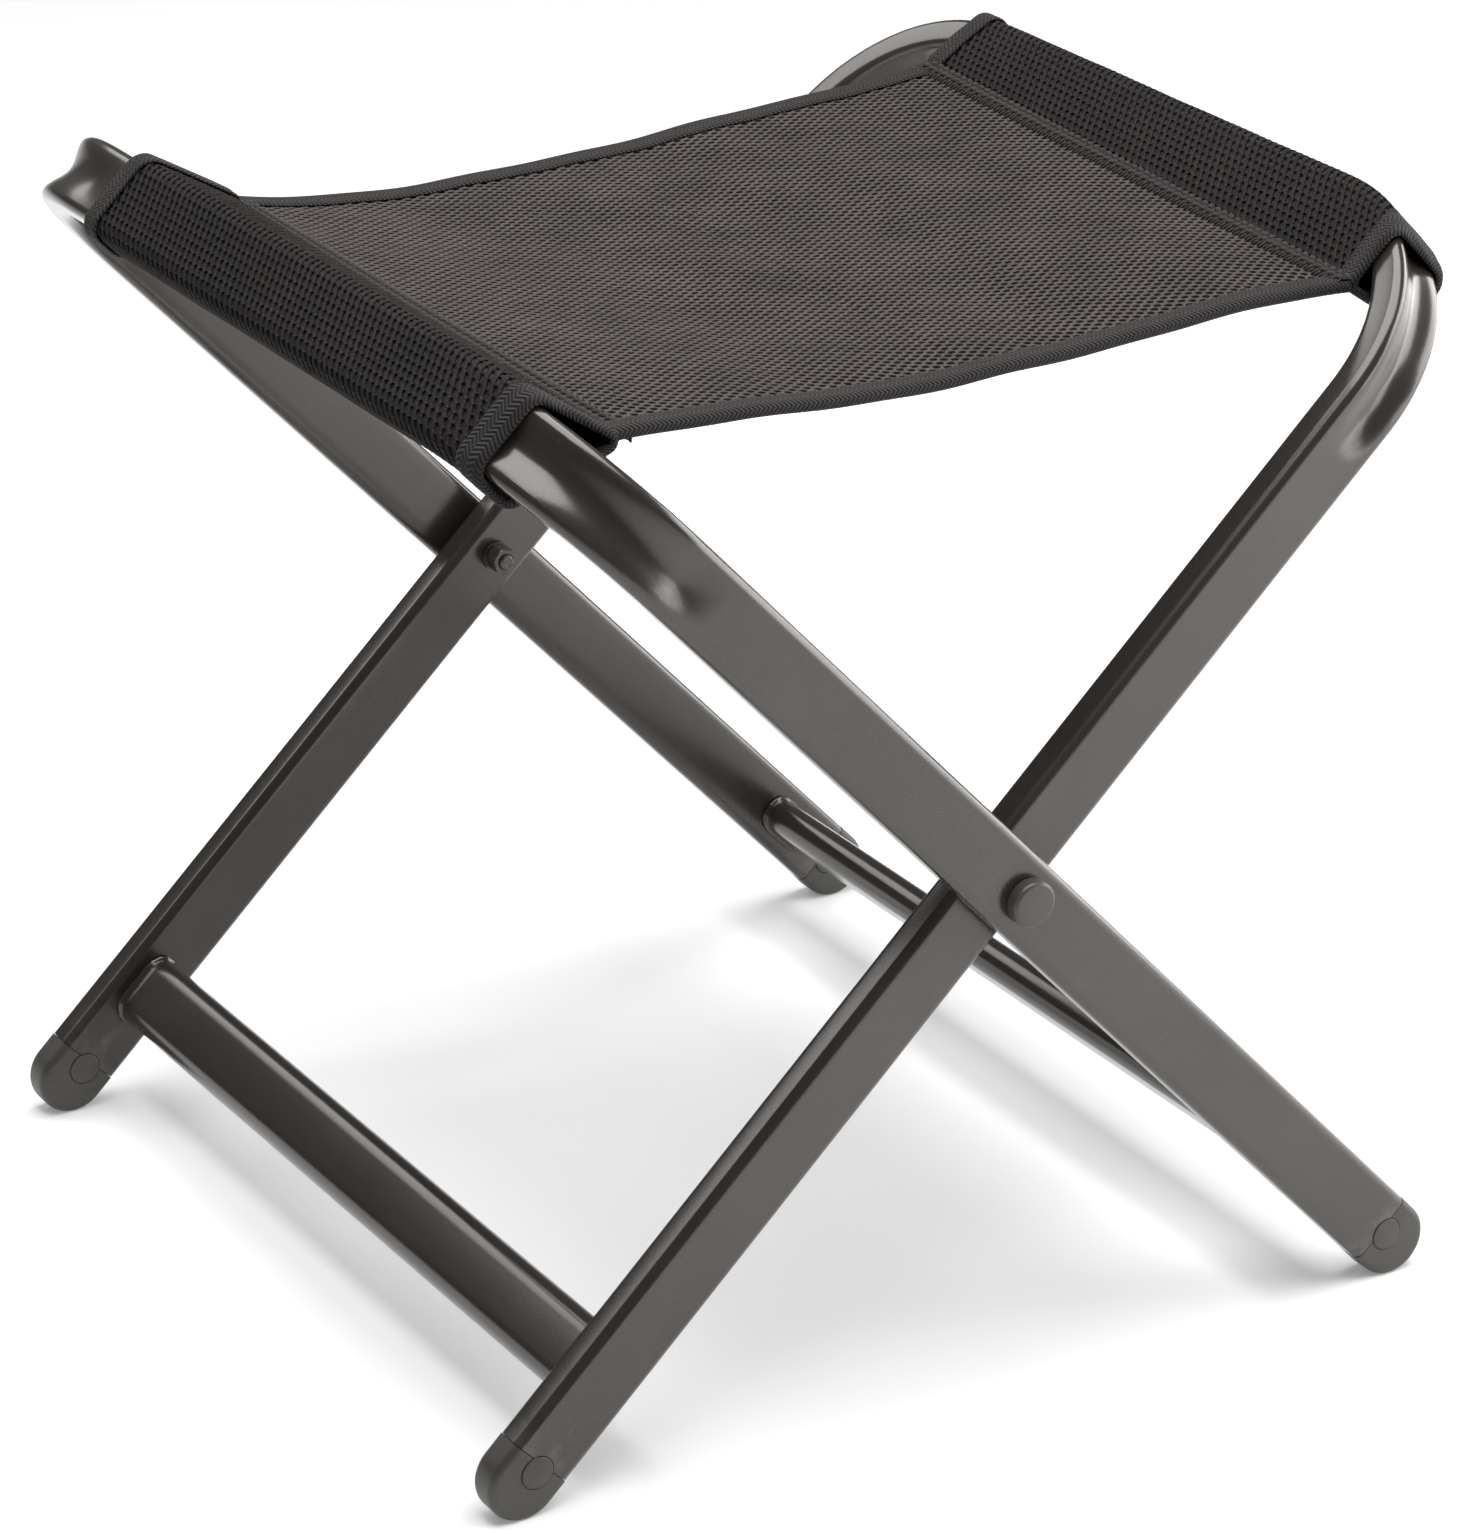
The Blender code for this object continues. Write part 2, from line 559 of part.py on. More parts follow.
def edge_binding(name, u0, u1, far, hinge):
    """Tape folded over the panel's free edge: a thin channel that follows the sag."""
    columns = 6
    span = PANEL_FAR_Y - PANEL_NEAR_Y
    lift = PANEL_T / 2 + GAP + TAPE_T / 2
    inward = (TAPE_W - 0.0010) / span
    bm = bmesh.new()
    rows = []
    for k in range(columns + 1):
        u = mix(u0, u1, k / columns)
        edge_v, inner_v = (1.0, 1.0 - inward) if far else (0.0, inward)
        edge, inner = (PIVOT + panel_point(u, v) - hinge.location for v in (edge_v, inner_v))
        up = Vector((0, 0, lift))
        rows.append([bm.verts.new(p) for p in (inner + up, edge + up, edge - up, inner - up)])
    for a, b in zip(rows, rows[1:]):
        for i in range(3):
            bm.faces.new((a[i], a[i + 1], b[i + 1], b[i]))
    obj = mesh_object(name, bm)
    finish_object(obj, WEBBING, hinge, 0)
    thick = obj.modifiers.new("tape", "SOLIDIFY")
    thick.thickness = TAPE_T
    thick.offset = 0.0
    thick.use_even_offset = True
    return obj


slit = 0.00025 / (right_edge.x - left_edge.x)
for side, u0, u1, hinge in (("left", 0.0, CREASE_U - slit, left_hinge), ("right", CREASE_U + slit, 1.0, right_hinge)):
    panel_half(f"seat_panel_{side}", u0, u1, hinge)
    edge_binding(f"panel_binding_{side}_near", u0, u1, False, hinge)
    edge_binding(f"panel_binding_{side}_far", u0, u1, True, hinge)


# ---------------------------------------------------------------- stitched seam strips
def seam_strip(name, side, axis):
    """A raised strip between the sleeve's closed edge and the panel."""
    span = LEFT_SLEEVE_Y if side == "left" else RIGHT_SLEEVE_Y
    inward = 1 if side == "left" else -1
    ends = []
    for y in (span[0] + TAPE_W + 0.0005, span[1] - TAPE_W - 0.0005):
        x, z = seam_edge(side, y)
        ends.append(Vector((x - inward * (STRIP_W / 2 + GAP), y, z + 0.0006)))
    middle = (ends[0] + ends[1]) / 2
    along = ends[1] - ends[0]
    bm = bmesh.new()
    bmesh.ops.create_cube(bm, size=1.0, matrix=Matrix.Diagonal((STRIP_W - 2 * GAP, 1.0, STRIP_T, 1.0)))
    for vert in bm.verts:
        vert.co = PIVOT + middle + along * vert.co.y + Vector((vert.co.x, 0, vert.co.z))
    obj = mesh_object(name, bm)
    obj.data.transform(axis.matrix_world.inverted())
    finish_object(obj, WEBBING, axis)
    soft = obj.modifiers.new("soft_edges", "BEVEL")
    soft.width = 0.0008
    soft.segments = 2
    return obj


seam_strip("seam_strip_left", "left", outer_axis)
seam_strip("seam_strip_right", "right", inner_axis)
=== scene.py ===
import json
import math

import bmesh
import bpy
import numpy as np
from mathutils import Matrix, Vector


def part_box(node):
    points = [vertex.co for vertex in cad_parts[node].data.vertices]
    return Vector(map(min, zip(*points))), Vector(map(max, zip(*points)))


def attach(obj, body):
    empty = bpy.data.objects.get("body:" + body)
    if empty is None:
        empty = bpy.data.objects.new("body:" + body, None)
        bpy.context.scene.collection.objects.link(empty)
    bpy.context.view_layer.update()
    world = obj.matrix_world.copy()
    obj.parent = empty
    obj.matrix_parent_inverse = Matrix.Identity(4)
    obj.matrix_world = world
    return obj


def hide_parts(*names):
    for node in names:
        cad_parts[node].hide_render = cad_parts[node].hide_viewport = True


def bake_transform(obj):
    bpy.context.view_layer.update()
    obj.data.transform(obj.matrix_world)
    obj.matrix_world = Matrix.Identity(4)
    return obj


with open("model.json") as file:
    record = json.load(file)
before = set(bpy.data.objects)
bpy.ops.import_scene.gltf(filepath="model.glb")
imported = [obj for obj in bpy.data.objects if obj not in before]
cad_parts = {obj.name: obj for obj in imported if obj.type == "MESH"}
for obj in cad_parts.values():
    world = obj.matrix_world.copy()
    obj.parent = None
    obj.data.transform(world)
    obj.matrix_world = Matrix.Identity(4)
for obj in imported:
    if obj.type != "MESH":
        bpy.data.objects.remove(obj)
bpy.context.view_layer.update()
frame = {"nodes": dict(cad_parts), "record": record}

record = frame["record"]
joints = {j["name"]: j for j in record["behaviour"]["joints"]}
PIVOT = np.array(joints["frame_fold"]["pos_m"], float)

# the CAD's own sizes
TUBE_W, TUBE_T, TUBE_R = 0.0300, 0.0140, 0.0038
OUTER_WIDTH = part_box("outer_frame_tube")[1][1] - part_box("outer_frame_tube")[0][1]
INNER_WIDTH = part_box("inner_frame_tube")[1][1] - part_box("inner_frame_tube")[0][1]
OUTER_LEAN, INNER_LEAN = math.radians(46.15), math.radians(44.03)
OUTER_REACH, INNER_REACH = 0.2890, 0.2924
OUTER_SEAM, INNER_SEAM = 0.2565, 0.2665
BEND_R, DENT, DENT_FADE = 0.0734, 0.0032, 0.018
DENT_HALF = 0.0118
FOOT_STRAIGHT, FOOT_R, FOOT_EDGE = 0.0095, 0.0150, 0.0032
BOSS_R, BOSS_AT, BOSS_PROUD = 0.0065, 0.0035, 0.0003
CROSS_AT, CROSS_W, CROSS_T = 0.2290, 0.0300, 0.0150
GAP = 0.0003
SLEEVE_EASE, SLEEVE_T, PANEL_T, TAPE_T, TAPE_W = 0.0009, 0.0018, 0.0020, 0.0009, 0.0090
LEFT_SLEEVE_Y, RIGHT_SLEEVE_Y = (-0.1690, 0.1110), (-0.1570, 0.1250)
LEFT_SEAM_NEAR, LEFT_SEAM_FAR = (-0.1558, 0.1932), (-0.1565, 0.1985)
RIGHT_SEAM_NEAR, RIGHT_SEAM_FAR = (0.1755, 0.1892), (0.1772, 0.1985)
SEAM_TIP, STRIP_W = 0.0036, 0.0060
CREASE_X = 0.0044


def rotation_y(angle):
    c, s = math.cos(angle), math.sin(angle)
    return np.array([[c, 0, s], [0, 1, 0], [-s, 0, c]])


OUTER_AXIS = rotation_y(OUTER_LEAN)
INNER_AXIS = rotation_y(math.pi - INNER_LEAN)


def to_row(points, axis):
    return np.asarray(points, float) @ axis.T + PIVOT


# ------------------------------------------------------------------ node materials
def new_material(name):
    material = bpy.data.materials.new(name)
    material.use_nodes = True
    tree = material.node_tree
    return material, tree, tree.nodes["Principled BSDF"]


def math_node(tree, operation, a, b=None, c=None):
    node = tree.nodes.new("ShaderNodeMath")
    node.operation = operation
    for socket, value in zip(node.inputs, (a, b, c)):
        if value is None:
            continue
        if isinstance(value, (int, float)):
            socket.default_value = value
        else:
            tree.links.new(value, socket)
    return node.outputs[0]


def ramp(tree, value, stops):
    node = tree.nodes.new("ShaderNodeValToRGB")
    while len(node.color_ramp.elements) < len(stops):
        node.color_ramp.elements.new(0.5)
    for element, (at, colour) in zip(node.color_ramp.elements, stops):
        element.position = at
        element.color = (*colour, 1.0)
    tree.links.new(value, node.inputs[0])
    return node.outputs[0]


def spread_value(tree, value, low, high):
    node = tree.nodes.new("ShaderNodeMapRange")
    tree.links.new(value, node.inputs[0])
    node.inputs[3].default_value = low
    node.inputs[4].default_value = high
    return node.outputs[0]


def noise(tree, coordinates, scale, detail=3.0, roughness=0.5, stretch=None):
    if stretch is not None:
        mapping = tree.nodes.new("ShaderNodeMapping")
        mapping.inputs["Scale"].default_value = stretch
        tree.links.new(coordinates, mapping.inputs[0])
        coordinates = mapping.outputs[0]
    node = tree.nodes.new("ShaderNodeTexNoise")
    node.inputs["Scale"].default_value = scale
    node.inputs["Detail"].default_value = detail
    node.inputs["Roughness"].default_value = roughness
    tree.links.new(coordinates, node.inputs["Vector"])
    return node.outputs[0]


def bump(tree, shader, heights):
    last = None
    for value, distance, strength in heights:
        node = tree.nodes.new("ShaderNodeBump")
        node.inputs["Strength"].default_value = strength
        node.inputs["Distance"].default_value = distance
        tree.links.new(value, node.inputs["Height"])
        if last is not None:
            tree.links.new(last, node.inputs["Normal"])
        last = node.outputs[0]
    tree.links.new(last, shader.inputs["Normal"])


def mix_colour(tree, factor, a, b, blend_type="MIX"):
    node = tree.nodes.new("ShaderNodeMix")
    node.data_type = "RGBA"
    node.blend_type = blend_type
    if isinstance(factor, (int, float)):
        node.inputs[0].default_value = factor
    else:
        tree.links.new(factor, node.inputs[0])
    for index, value in ((6, a), (7, b)):
        if isinstance(value, tuple):
            node.inputs[index].default_value = (*value, 1.0)
        else:
            tree.links.new(value, node.inputs[index])
    return node.outputs[2]


def powder_coat(name, dark=(0.0310, 0.0268, 0.0235), light=(0.0420, 0.0365, 0.0322), metallic=0.40, rough=(0.19, 0.26)):
    material, tree, shader = new_material(name)
    place = tree.nodes.new("ShaderNodeTexCoord").outputs["Object"]
    cloudy = noise(tree, place, 22.0, 4.0, 0.6)
    grain = noise(tree, place, 2600.0, 2.0, 0.6)
    peel = noise(tree, place, 700.0, 2.0, 0.5)
    speck = noise(tree, place, 1500.0, 1.0, 0.4)
    body = ramp(tree, cloudy, [(0.30, dark), (0.70, light)])
    body = mix_colour(tree, spread_value(tree, grain, 0.0, 0.30), body, tuple(min(1, c * 2.1) for c in light))
    rare = ramp(tree, speck, [(0.70, (0, 0, 0)), (0.78, (1, 1, 1))])
    body = mix_colour(tree, math_node(tree, "MULTIPLY", rare, 0.35), body, (0.16, 0.15, 0.14))
    # painted highlight: where the surface turns sharply the colour is made brighter, in noisy patches, standing in for
    # the light that rounded edges catch
    geometry = tree.nodes.new("ShaderNodeNewGeometry")
    edge_highlight_mask = ramp(tree, geometry.outputs["Pointiness"], [(0.515, (0, 0, 0)), (0.58, (1, 1, 1))])
    patchy = ramp(tree, noise(tree, place, 90.0, 3.0, 0.6), [(0.42, (0, 0, 0)), (0.66, (1, 1, 1))])
    painted_edge_highlight = math_node(tree, "MULTIPLY", math_node(tree, "MULTIPLY", edge_highlight_mask, patchy), 0.45)
    # mix the painted edge highlight into the coat colour
    body = mix_colour(tree, painted_edge_highlight, body, (0.17, 0.16, 0.145))
    tree.links.new(body, shader.inputs["Base Color"])
    shader.inputs["Metallic"].default_value = metallic
    tree.links.new(spread_value(tree, noise(tree, place, 60.0, 5.0, 0.65), rough[0], rough[1]), shader.inputs["Roughness"])
    shader.inputs["Coat Weight"].default_value = 0.45
    shader.inputs["Coat Roughness"].default_value = 0.17
    bump(tree, shader, [(peel, 0.00006, 0.55), (grain, 0.00003, 0.5)])
    return material


def moulded(name, dark, light, rough=(0.38, 0.52), grain_depth=0.00005, specular=0.5):
    material, tree, shader = new_material(name)
    place = tree.nodes.new("ShaderNodeTexCoord").outputs["Object"]
    body = ramp(tree, noise(tree, place, 70.0, 4.0, 0.6), [(0.3, dark), (0.7, light)])
    scuff = ramp(tree, noise(tree, place, 260.0, 3.0, 0.7), [(0.62, (0, 0, 0)), (0.80, (1, 1, 1))])
    body = mix_colour(tree, math_node(tree, "MULTIPLY", scuff, 0.35), body, tuple(min(1, c * 2.2) for c in light))
    tree.links.new(body, shader.inputs["Base Color"])
    tree.links.new(spread_value(tree, noise(tree, place, 120.0, 4.0, 0.6), rough[0], rough[1]), shader.inputs["Roughness"])
    shader.inputs["Specular IOR Level"].default_value = specular
    bump(tree, shader, [(noise(tree, place, 1700.0, 2.0, 0.6), grain_depth, 0.7), (noise(tree, place, 160.0, 3.0, 0.5), 0.0002, 0.25)])
    return material


def zinc(name):
    material, tree, shader = new_material(name)
    place = tree.nodes.new("ShaderNodeTexCoord").outputs["Object"]
    body = ramp(tree, noise(tree, place, 420.0, 4.0, 0.65), [(0.30, (0.055, 0.051, 0.047)), (0.70, (0.115, 0.108, 0.100))])
    tree.links.new(body, shader.inputs["Base Color"])
    shader.inputs["Metallic"].default_value = 0.75
    tree.links.new(spread_value(tree, noise(tree, place, 900.0, 3.0, 0.6), 0.30, 0.50), shader.inputs["Roughness"])
    bump(tree, shader, [(noise(tree, place, 1400.0, 2.0, 0.6), 0.00005, 0.6)])
    return material


def uv_axes(tree):
    """The two cloth directions in metres."""
    uv = tree.nodes.new("ShaderNodeUVMap")
    uv.uv_map = "cloth"
    split = tree.nodes.new("ShaderNodeSeparateXYZ")
    tree.links.new(uv.outputs[0], split.inputs[0])
    return uv.outputs[0], split.outputs[0], split.outputs[1]


def yarn(name, dark, light, high, sheen, patch=(0.82, 1.12)):
    """Knitted polyester yarn: filaments across the mesh's ribs, with cloudy dye and lint."""
    material, tree, shader = new_material(name)
    uv, u, v = uv_axes(tree)
    place = tree.nodes.new("ShaderNodeTexCoord").outputs["Object"]
    fibres = noise(tree, uv, 1.0, 3.0, 0.6, (2600.0, 900.0, 1.0))
    plies = math_node(tree, "SINE", math_node(tree, "MULTIPLY", math_node(tree, "ADD", u, math_node(tree, "MULTIPLY", v, 0.8)), 2 * math.pi / 0.00062))
    ply = spread_value(tree, plies, 0.0, 1.0)
    tree.nodes[-1].inputs[1].default_value = -1.0
    body = ramp(tree, fibres, [(0.28, dark), (0.52, light), (0.78, high)])
    body = mix_colour(tree, math_node(tree, "MULTIPLY", ply, 0.35), body, dark)
    cloudy = noise(tree, place, 30.0, 3.0, 0.6)
    shade = ramp(tree, cloudy, [(0.30, (patch[0],) * 3), (0.70, (patch[1],) * 3)])
    body = mix_colour(tree, 1.0, body, shade, "MULTIPLY")
    tree.links.new(body, shader.inputs["Base Color"])
    tree.links.new(spread_value(tree, fibres, 0.62, 0.88), shader.inputs["Roughness"])
    shader.inputs["Sheen Weight"].default_value = sheen
    shader.inputs["Sheen Roughness"].default_value = 0.45
    shader.inputs["Specular IOR Level"].default_value = 0.12
    bump(tree, shader, [(ply, 0.00012, 0.7), (fibres, 0.00010, 0.6)])
    return material


def backing_cloth(name, dark, light):
    """The dense lower knit of the spacer mesh: fine ribs crossed by small loops."""
    material, tree, shader = new_material(name)
    uv, u, v = uv_axes(tree)
    ribs = math_node(tree, "SINE", math_node(tree, "MULTIPLY", u, 2 * math.pi / 0.0021))
    loops = math_node(tree, "SINE", math_node(tree, "MULTIPLY", v, 2 * math.pi / 0.0014))
    knit = math_node(tree, "MULTIPLY_ADD", math_node(tree, "MULTIPLY", ribs, loops), 0.5, 0.5)
    fibres = noise(tree, uv, 1.0, 3.0, 0.6, (1800.0, 2400.0, 1.0))
    body = ramp(tree, knit, [(0.15, dark), (0.85, light)])
    body = mix_colour(tree, spread_value(tree, fibres, 0.0, 0.35), body, tuple(c * 0.5 for c in dark))
    tree.links.new(body, shader.inputs["Base Color"])
    tree.links.new(spread_value(tree, fibres, 0.75, 0.95), shader.inputs["Roughness"])
    shader.inputs["Sheen Weight"].default_value = 0.05
    bump(tree, shader, [(knit, 0.00035, 0.8), (fibres, 0.00010, 0.5)])
    return material


def twill(name, dark, light, pitch=0.00125, width=0.0023, sheen=0.25):
    """Woven tape: herringbone ribs along the tape."""
    material, tree, shader = new_material(name)
    uv, u, v = uv_axes(tree)
    fold = math_node(tree, "PINGPONG", v, width)
    phase = math_node(tree, "MULTIPLY", math_node(tree, "ADD", u, fold), 2 * math.pi / pitch)
    rib = math_node(tree, "MULTIPLY_ADD", math_node(tree, "SINE", phase), 0.5, 0.5)
    fibres = noise(tree, uv, 1.0, 3.0, 0.6, (2200.0, 3000.0, 1.0))
    body = ramp(tree, rib, [(0.15, dark), (0.85, light)])
    body = mix_colour(tree, spread_value(tree, fibres, 0.0, 0.45), body, tuple(c * 0.6 for c in dark))
    tree.links.new(body, shader.inputs["Base Color"])
    tree.links.new(spread_value(tree, fibres, 0.70, 0.92), shader.inputs["Roughness"])
    shader.inputs["Sheen Weight"].default_value = sheen
    shader.inputs["Sheen Roughness"].default_value = 0.5
    shader.inputs["Specular IOR Level"].default_value = 0.3
    bump(tree, shader, [(rib, 0.00045, 1.0), (fibres, 0.00008, 0.5)])
    return material


COAT = powder_coat("frame_powder_coat")
CAP_PLASTIC = moulded("foot_cap_plastic", (0.040, 0.037, 0.030), (0.056, 0.052, 0.043), (0.36, 0.50))
COVER_PLASTIC = moulded("pivot_cover_plastic", (0.044, 0.041, 0.037), (0.060, 0.056, 0.051), (0.30, 0.42))
NYLON = moulded("washer_nylon", (0.020, 0.020, 0.020), (0.032, 0.031, 0.030), (0.45, 0.6))
ZINC = zinc("dark_zinc_plate")
MESH_YARN = yarn("seat_mesh_yarn", (0.038, 0.0315, 0.0295), (0.076, 0.0640, 0.0600), (0.150, 0.128, 0.120), 0.04)
# near-black yarn for the walls inside the holes: painted shade in the recesses
HOLE_WALL_SHADE = yarn("seat_mesh_hole_walls_painted_shade", (0.003, 0.0027, 0.0025), (0.008, 0.007, 0.0065), (0.018, 0.016, 0.015), 0.0)
# the sleeve yarn is a much darker copy of the seat yarn: painted shade for the sleeves' shaded faces
SLEEVE_YARN_SHADED = yarn("sleeve_mesh_yarn_painted_shade", (0.007, 0.0060, 0.0057), (0.018, 0.0155, 0.0147), (0.085, 0.075, 0.070), 0.0)
BACKING = backing_cloth("mesh_backing", (0.004, 0.0035, 0.0033), (0.014, 0.012, 0.0115))
TAPE = twill("binding_twill", (0.004, 0.0035, 0.0033), (0.040, 0.0345, 0.0325), pitch=0.0019, width=0.0026, sheen=0.03)
THREAD = twill("stitch_thread", (0.020, 0.0175, 0.0165), (0.100, 0.088, 0.082), 0.0008, 0.0006, 0.05)


# ------------------------------------------------------------------ mesh helpers
def add_mesh(name, verts, faces, materials, uvs=None, face_slots=None, smooth=True, sharp=None):
    mesh = bpy.data.meshes.new(name)
    mesh.from_pydata(np.asarray(verts, float).tolist(), [], [list(map(int, f)) for f in faces] if not isinstance(faces, np.ndarray) else faces.tolist())
    for material in materials:
        mesh.materials.append(material)
    if face_slots is not None:
        mesh.polygons.foreach_set("material_index", np.asarray(face_slots, np.int32))
    if uvs is not None:
        layer = mesh.uv_layers.new(name="cloth")
        index = np.empty(len(mesh.loops), np.int32)
        mesh.loops.foreach_get("vertex_index", index)
        layer.data.foreach_set("uv", np.asarray(uvs, np.float32)[index].ravel())
    if smooth:
        mesh.shade_smooth()
    if sharp:
        mesh.set_sharp_from_angle(angle=math.radians(sharp))
    mesh.update()
    obj = bpy.data.objects.new(name, mesh)
    bpy.context.scene.collection.objects.link(obj)
    return obj


def loft(rows, closed_rows):
    """Faces between equal rows of points; rows may close on themselves."""
    count, size = rows
    faces = []
    last = size if closed_rows else size - 1
    for a in range(count - 1):
        for i in range(last):
            j = (i + 1) % size
            faces.append((a * size + i, a * size + j, (a + 1) * size + j, (a + 1) * size + i))
    return faces


def outward(obj):
    bm = bmesh.new()
    bm.from_mesh(obj.data)
    bmesh.ops.recalc_face_normals(bm, faces=bm.faces)
    bm.to_mesh(obj.data)
    bm.free()
    return obj


def apply_modifiers(obj):
    bpy.context.view_layer.update()
    done = bpy.data.meshes.new_from_object(obj.evaluated_get(bpy.context.evaluated_depsgraph_get()))
    old = obj.data
    obj.modifiers.clear()
    obj.data = done
    bpy.data.meshes.remove(old)
    return obj


def thicken(obj, thickness, offset=0.0):
    solid = obj.modifiers.new("cloth_thickness", "SOLIDIFY")
    solid.thickness = thickness
    solid.offset = offset
    return apply_modifiers(obj)


def finished(obj, body, slot_name, *nodes):
    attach(obj, body)
    if nodes:
        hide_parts(*nodes)
    return obj


# ------------------------------------------------------------------ the two U-shaped tubes
def tube_section(half_t, half_w, radius, dent, dent_half):
    points = []
    corners = ((half_t - radius, half_w - radius, 90.0), (-half_t + radius, half_w - radius, 180.0),
               (-half_t + radius, -half_w + radius, 270.0), (half_t - radius, -half_w + radius, 360.0))
    for n, z, stop in corners:
        for k in range(9):
            a = math.radians(stop - 90.0 + 90.0 * k / 8)
            points.append((n + radius * math.cos(a), z + radius * math.sin(a)))
        if stop == 180.0:
            for k in range(1, 6):
                points.append((-half_t, (half_w - radius) * (1 - k / 3)))
    for k in range(1, 24):
        z = (k / 12 - 1) * dent_half
        points.append((half_t - dent * math.cos(math.pi * 0.5 * z / dent_half) ** 2, z))
    return points


def frame_stations(width, reach, seam):
    leg_y = width / 2 - TUBE_T / 2
    arc_x, arc_y = -reach + BEND_R, width / 2 - BEND_R
    mid_r = BEND_R - TUBE_T / 2
    half = []
    straights = list(np.linspace(seam, arc_x + DENT_FADE * 2.0, 40)) + [arc_x + DENT_FADE * 2.0 * k / 16 for k in range(15, -1, -1)]
    for x in straights[:-1]:
        past = min(1.0, max(0.0, (x - arc_x) / (DENT_FADE * 1.25)))
        half.append(((x, -leg_y, 0), (0, -1, 0), DENT * 0.5 * (1 + math.cos(math.pi * past)) * 0.80))
    for k in range(49):
        a = math.pi / 2 * k / 48
        out = (-math.sin(a), -math.cos(a), 0)
        half.append(((arc_x + out[0] * mid_r, -arc_y + out[1] * mid_r, 0), out, DENT * (0.80 + 0.20 * math.sin(math.pi * k / 48))))
    for k in range(1, 17):
        past = min(1.0, k / 16)
        half.append(((-reach + TUBE_T / 2, -arc_y + DENT_FADE * 1.25 * past, 0), (-1, 0, 0), DENT * 0.5 * (1 + math.cos(math.pi * past)) * 0.80))
    other = [((c[0], -c[1], 0), (o[0], -o[1], 0), d) for c, o, d in reversed(half)]
    return half + other


def frame_tube(name, width, reach, seam, axis, body):
    rows = []
    for centre, out, dent in frame_stations(width, reach, seam):
        outline = tube_section(TUBE_T / 2, TUBE_W / 2, TUBE_R, dent, DENT_HALF)
        rows.append([np.array(centre) + np.array(out) * n + np.array((0, 0, z)) for n, z in outline])
    size = len(rows[0])
    faces = loft((len(rows), size), True)
    faces.append(tuple(range(size)))
    faces.append(tuple(range((len(rows) - 1) * size, len(rows) * size)))
    obj = outward(add_mesh(name + "_shape", np.array(rows).reshape(-1, 3), faces, [COAT], sharp=None))
    leg_y = width / 2 - TUBE_T / 2
    cutters = []
    for sign in (-1, 1):
        cutter_mesh = bmesh.new()
        bmesh.ops.create_cone(cutter_mesh, cap_ends=True, segments=64, radius1=BOSS_R + GAP, radius2=BOSS_R + GAP, depth=TUBE_T * 2,
                              matrix=Matrix.Translation((seam + BOSS_AT, sign * leg_y, 0)) @ Matrix.Rotation(math.pi / 2, 4, "X"))
        holder = bpy.data.meshes.new(name + "_cut")
        cutter_mesh.to_mesh(holder)
        cutter_mesh.free()
        cutter = bpy.data.objects.new(name + "_cut", holder)
        bpy.context.scene.collection.objects.link(cutter)
        cut = obj.modifiers.new("notch", "BOOLEAN")
        cut.operation, cut.solver, cut.object = "DIFFERENCE", "EXACT", cutter
        cutters.append(cutter)
    apply_modifiers(obj)
    for cutter in cutters:
        bpy.data.objects.remove(cutter, do_unlink=True)
    obj.data.materials.clear()
    obj.data.materials.append(COAT)
    obj.data.polygons.foreach_set("material_index", np.zeros(len(obj.data.polygons), np.int32))
    obj.data.shade_smooth()
    obj.data.set_sharp_from_angle(angle=math.radians(38))
    matrix = Matrix.Identity(4)
    for r in range(3):
        for c in range(3):
            matrix[r][c] = axis[r][c]
        matrix[r][3] = PIVOT[r]
    obj.data.transform(matrix)
    return finished(obj, body, "frame_coating", name)


frame_tube("outer_frame_tube", OUTER_WIDTH, OUTER_REACH, OUTER_SEAM, OUTER_AXIS, "outer_frame")
frame_tube("inner_frame_tube", INNER_WIDTH, INNER_REACH, INNER_SEAM, INNER_AXIS, "inner_frame")


# ------------------------------------------------------------------ cross tubes and their welds
def oval(long_way, short_way, steps):
    r = short_way / 2
    d = long_way / 2 - r
    points = []
    for sign, start in ((1, -90.0), (-1, 90.0)):
        for k in range(steps + 1):
            a = math.radians(start + 180.0 * k / steps)
            points.append((sign * d + r * math.cos(a), r * math.sin(a)))
    return np.array(points)


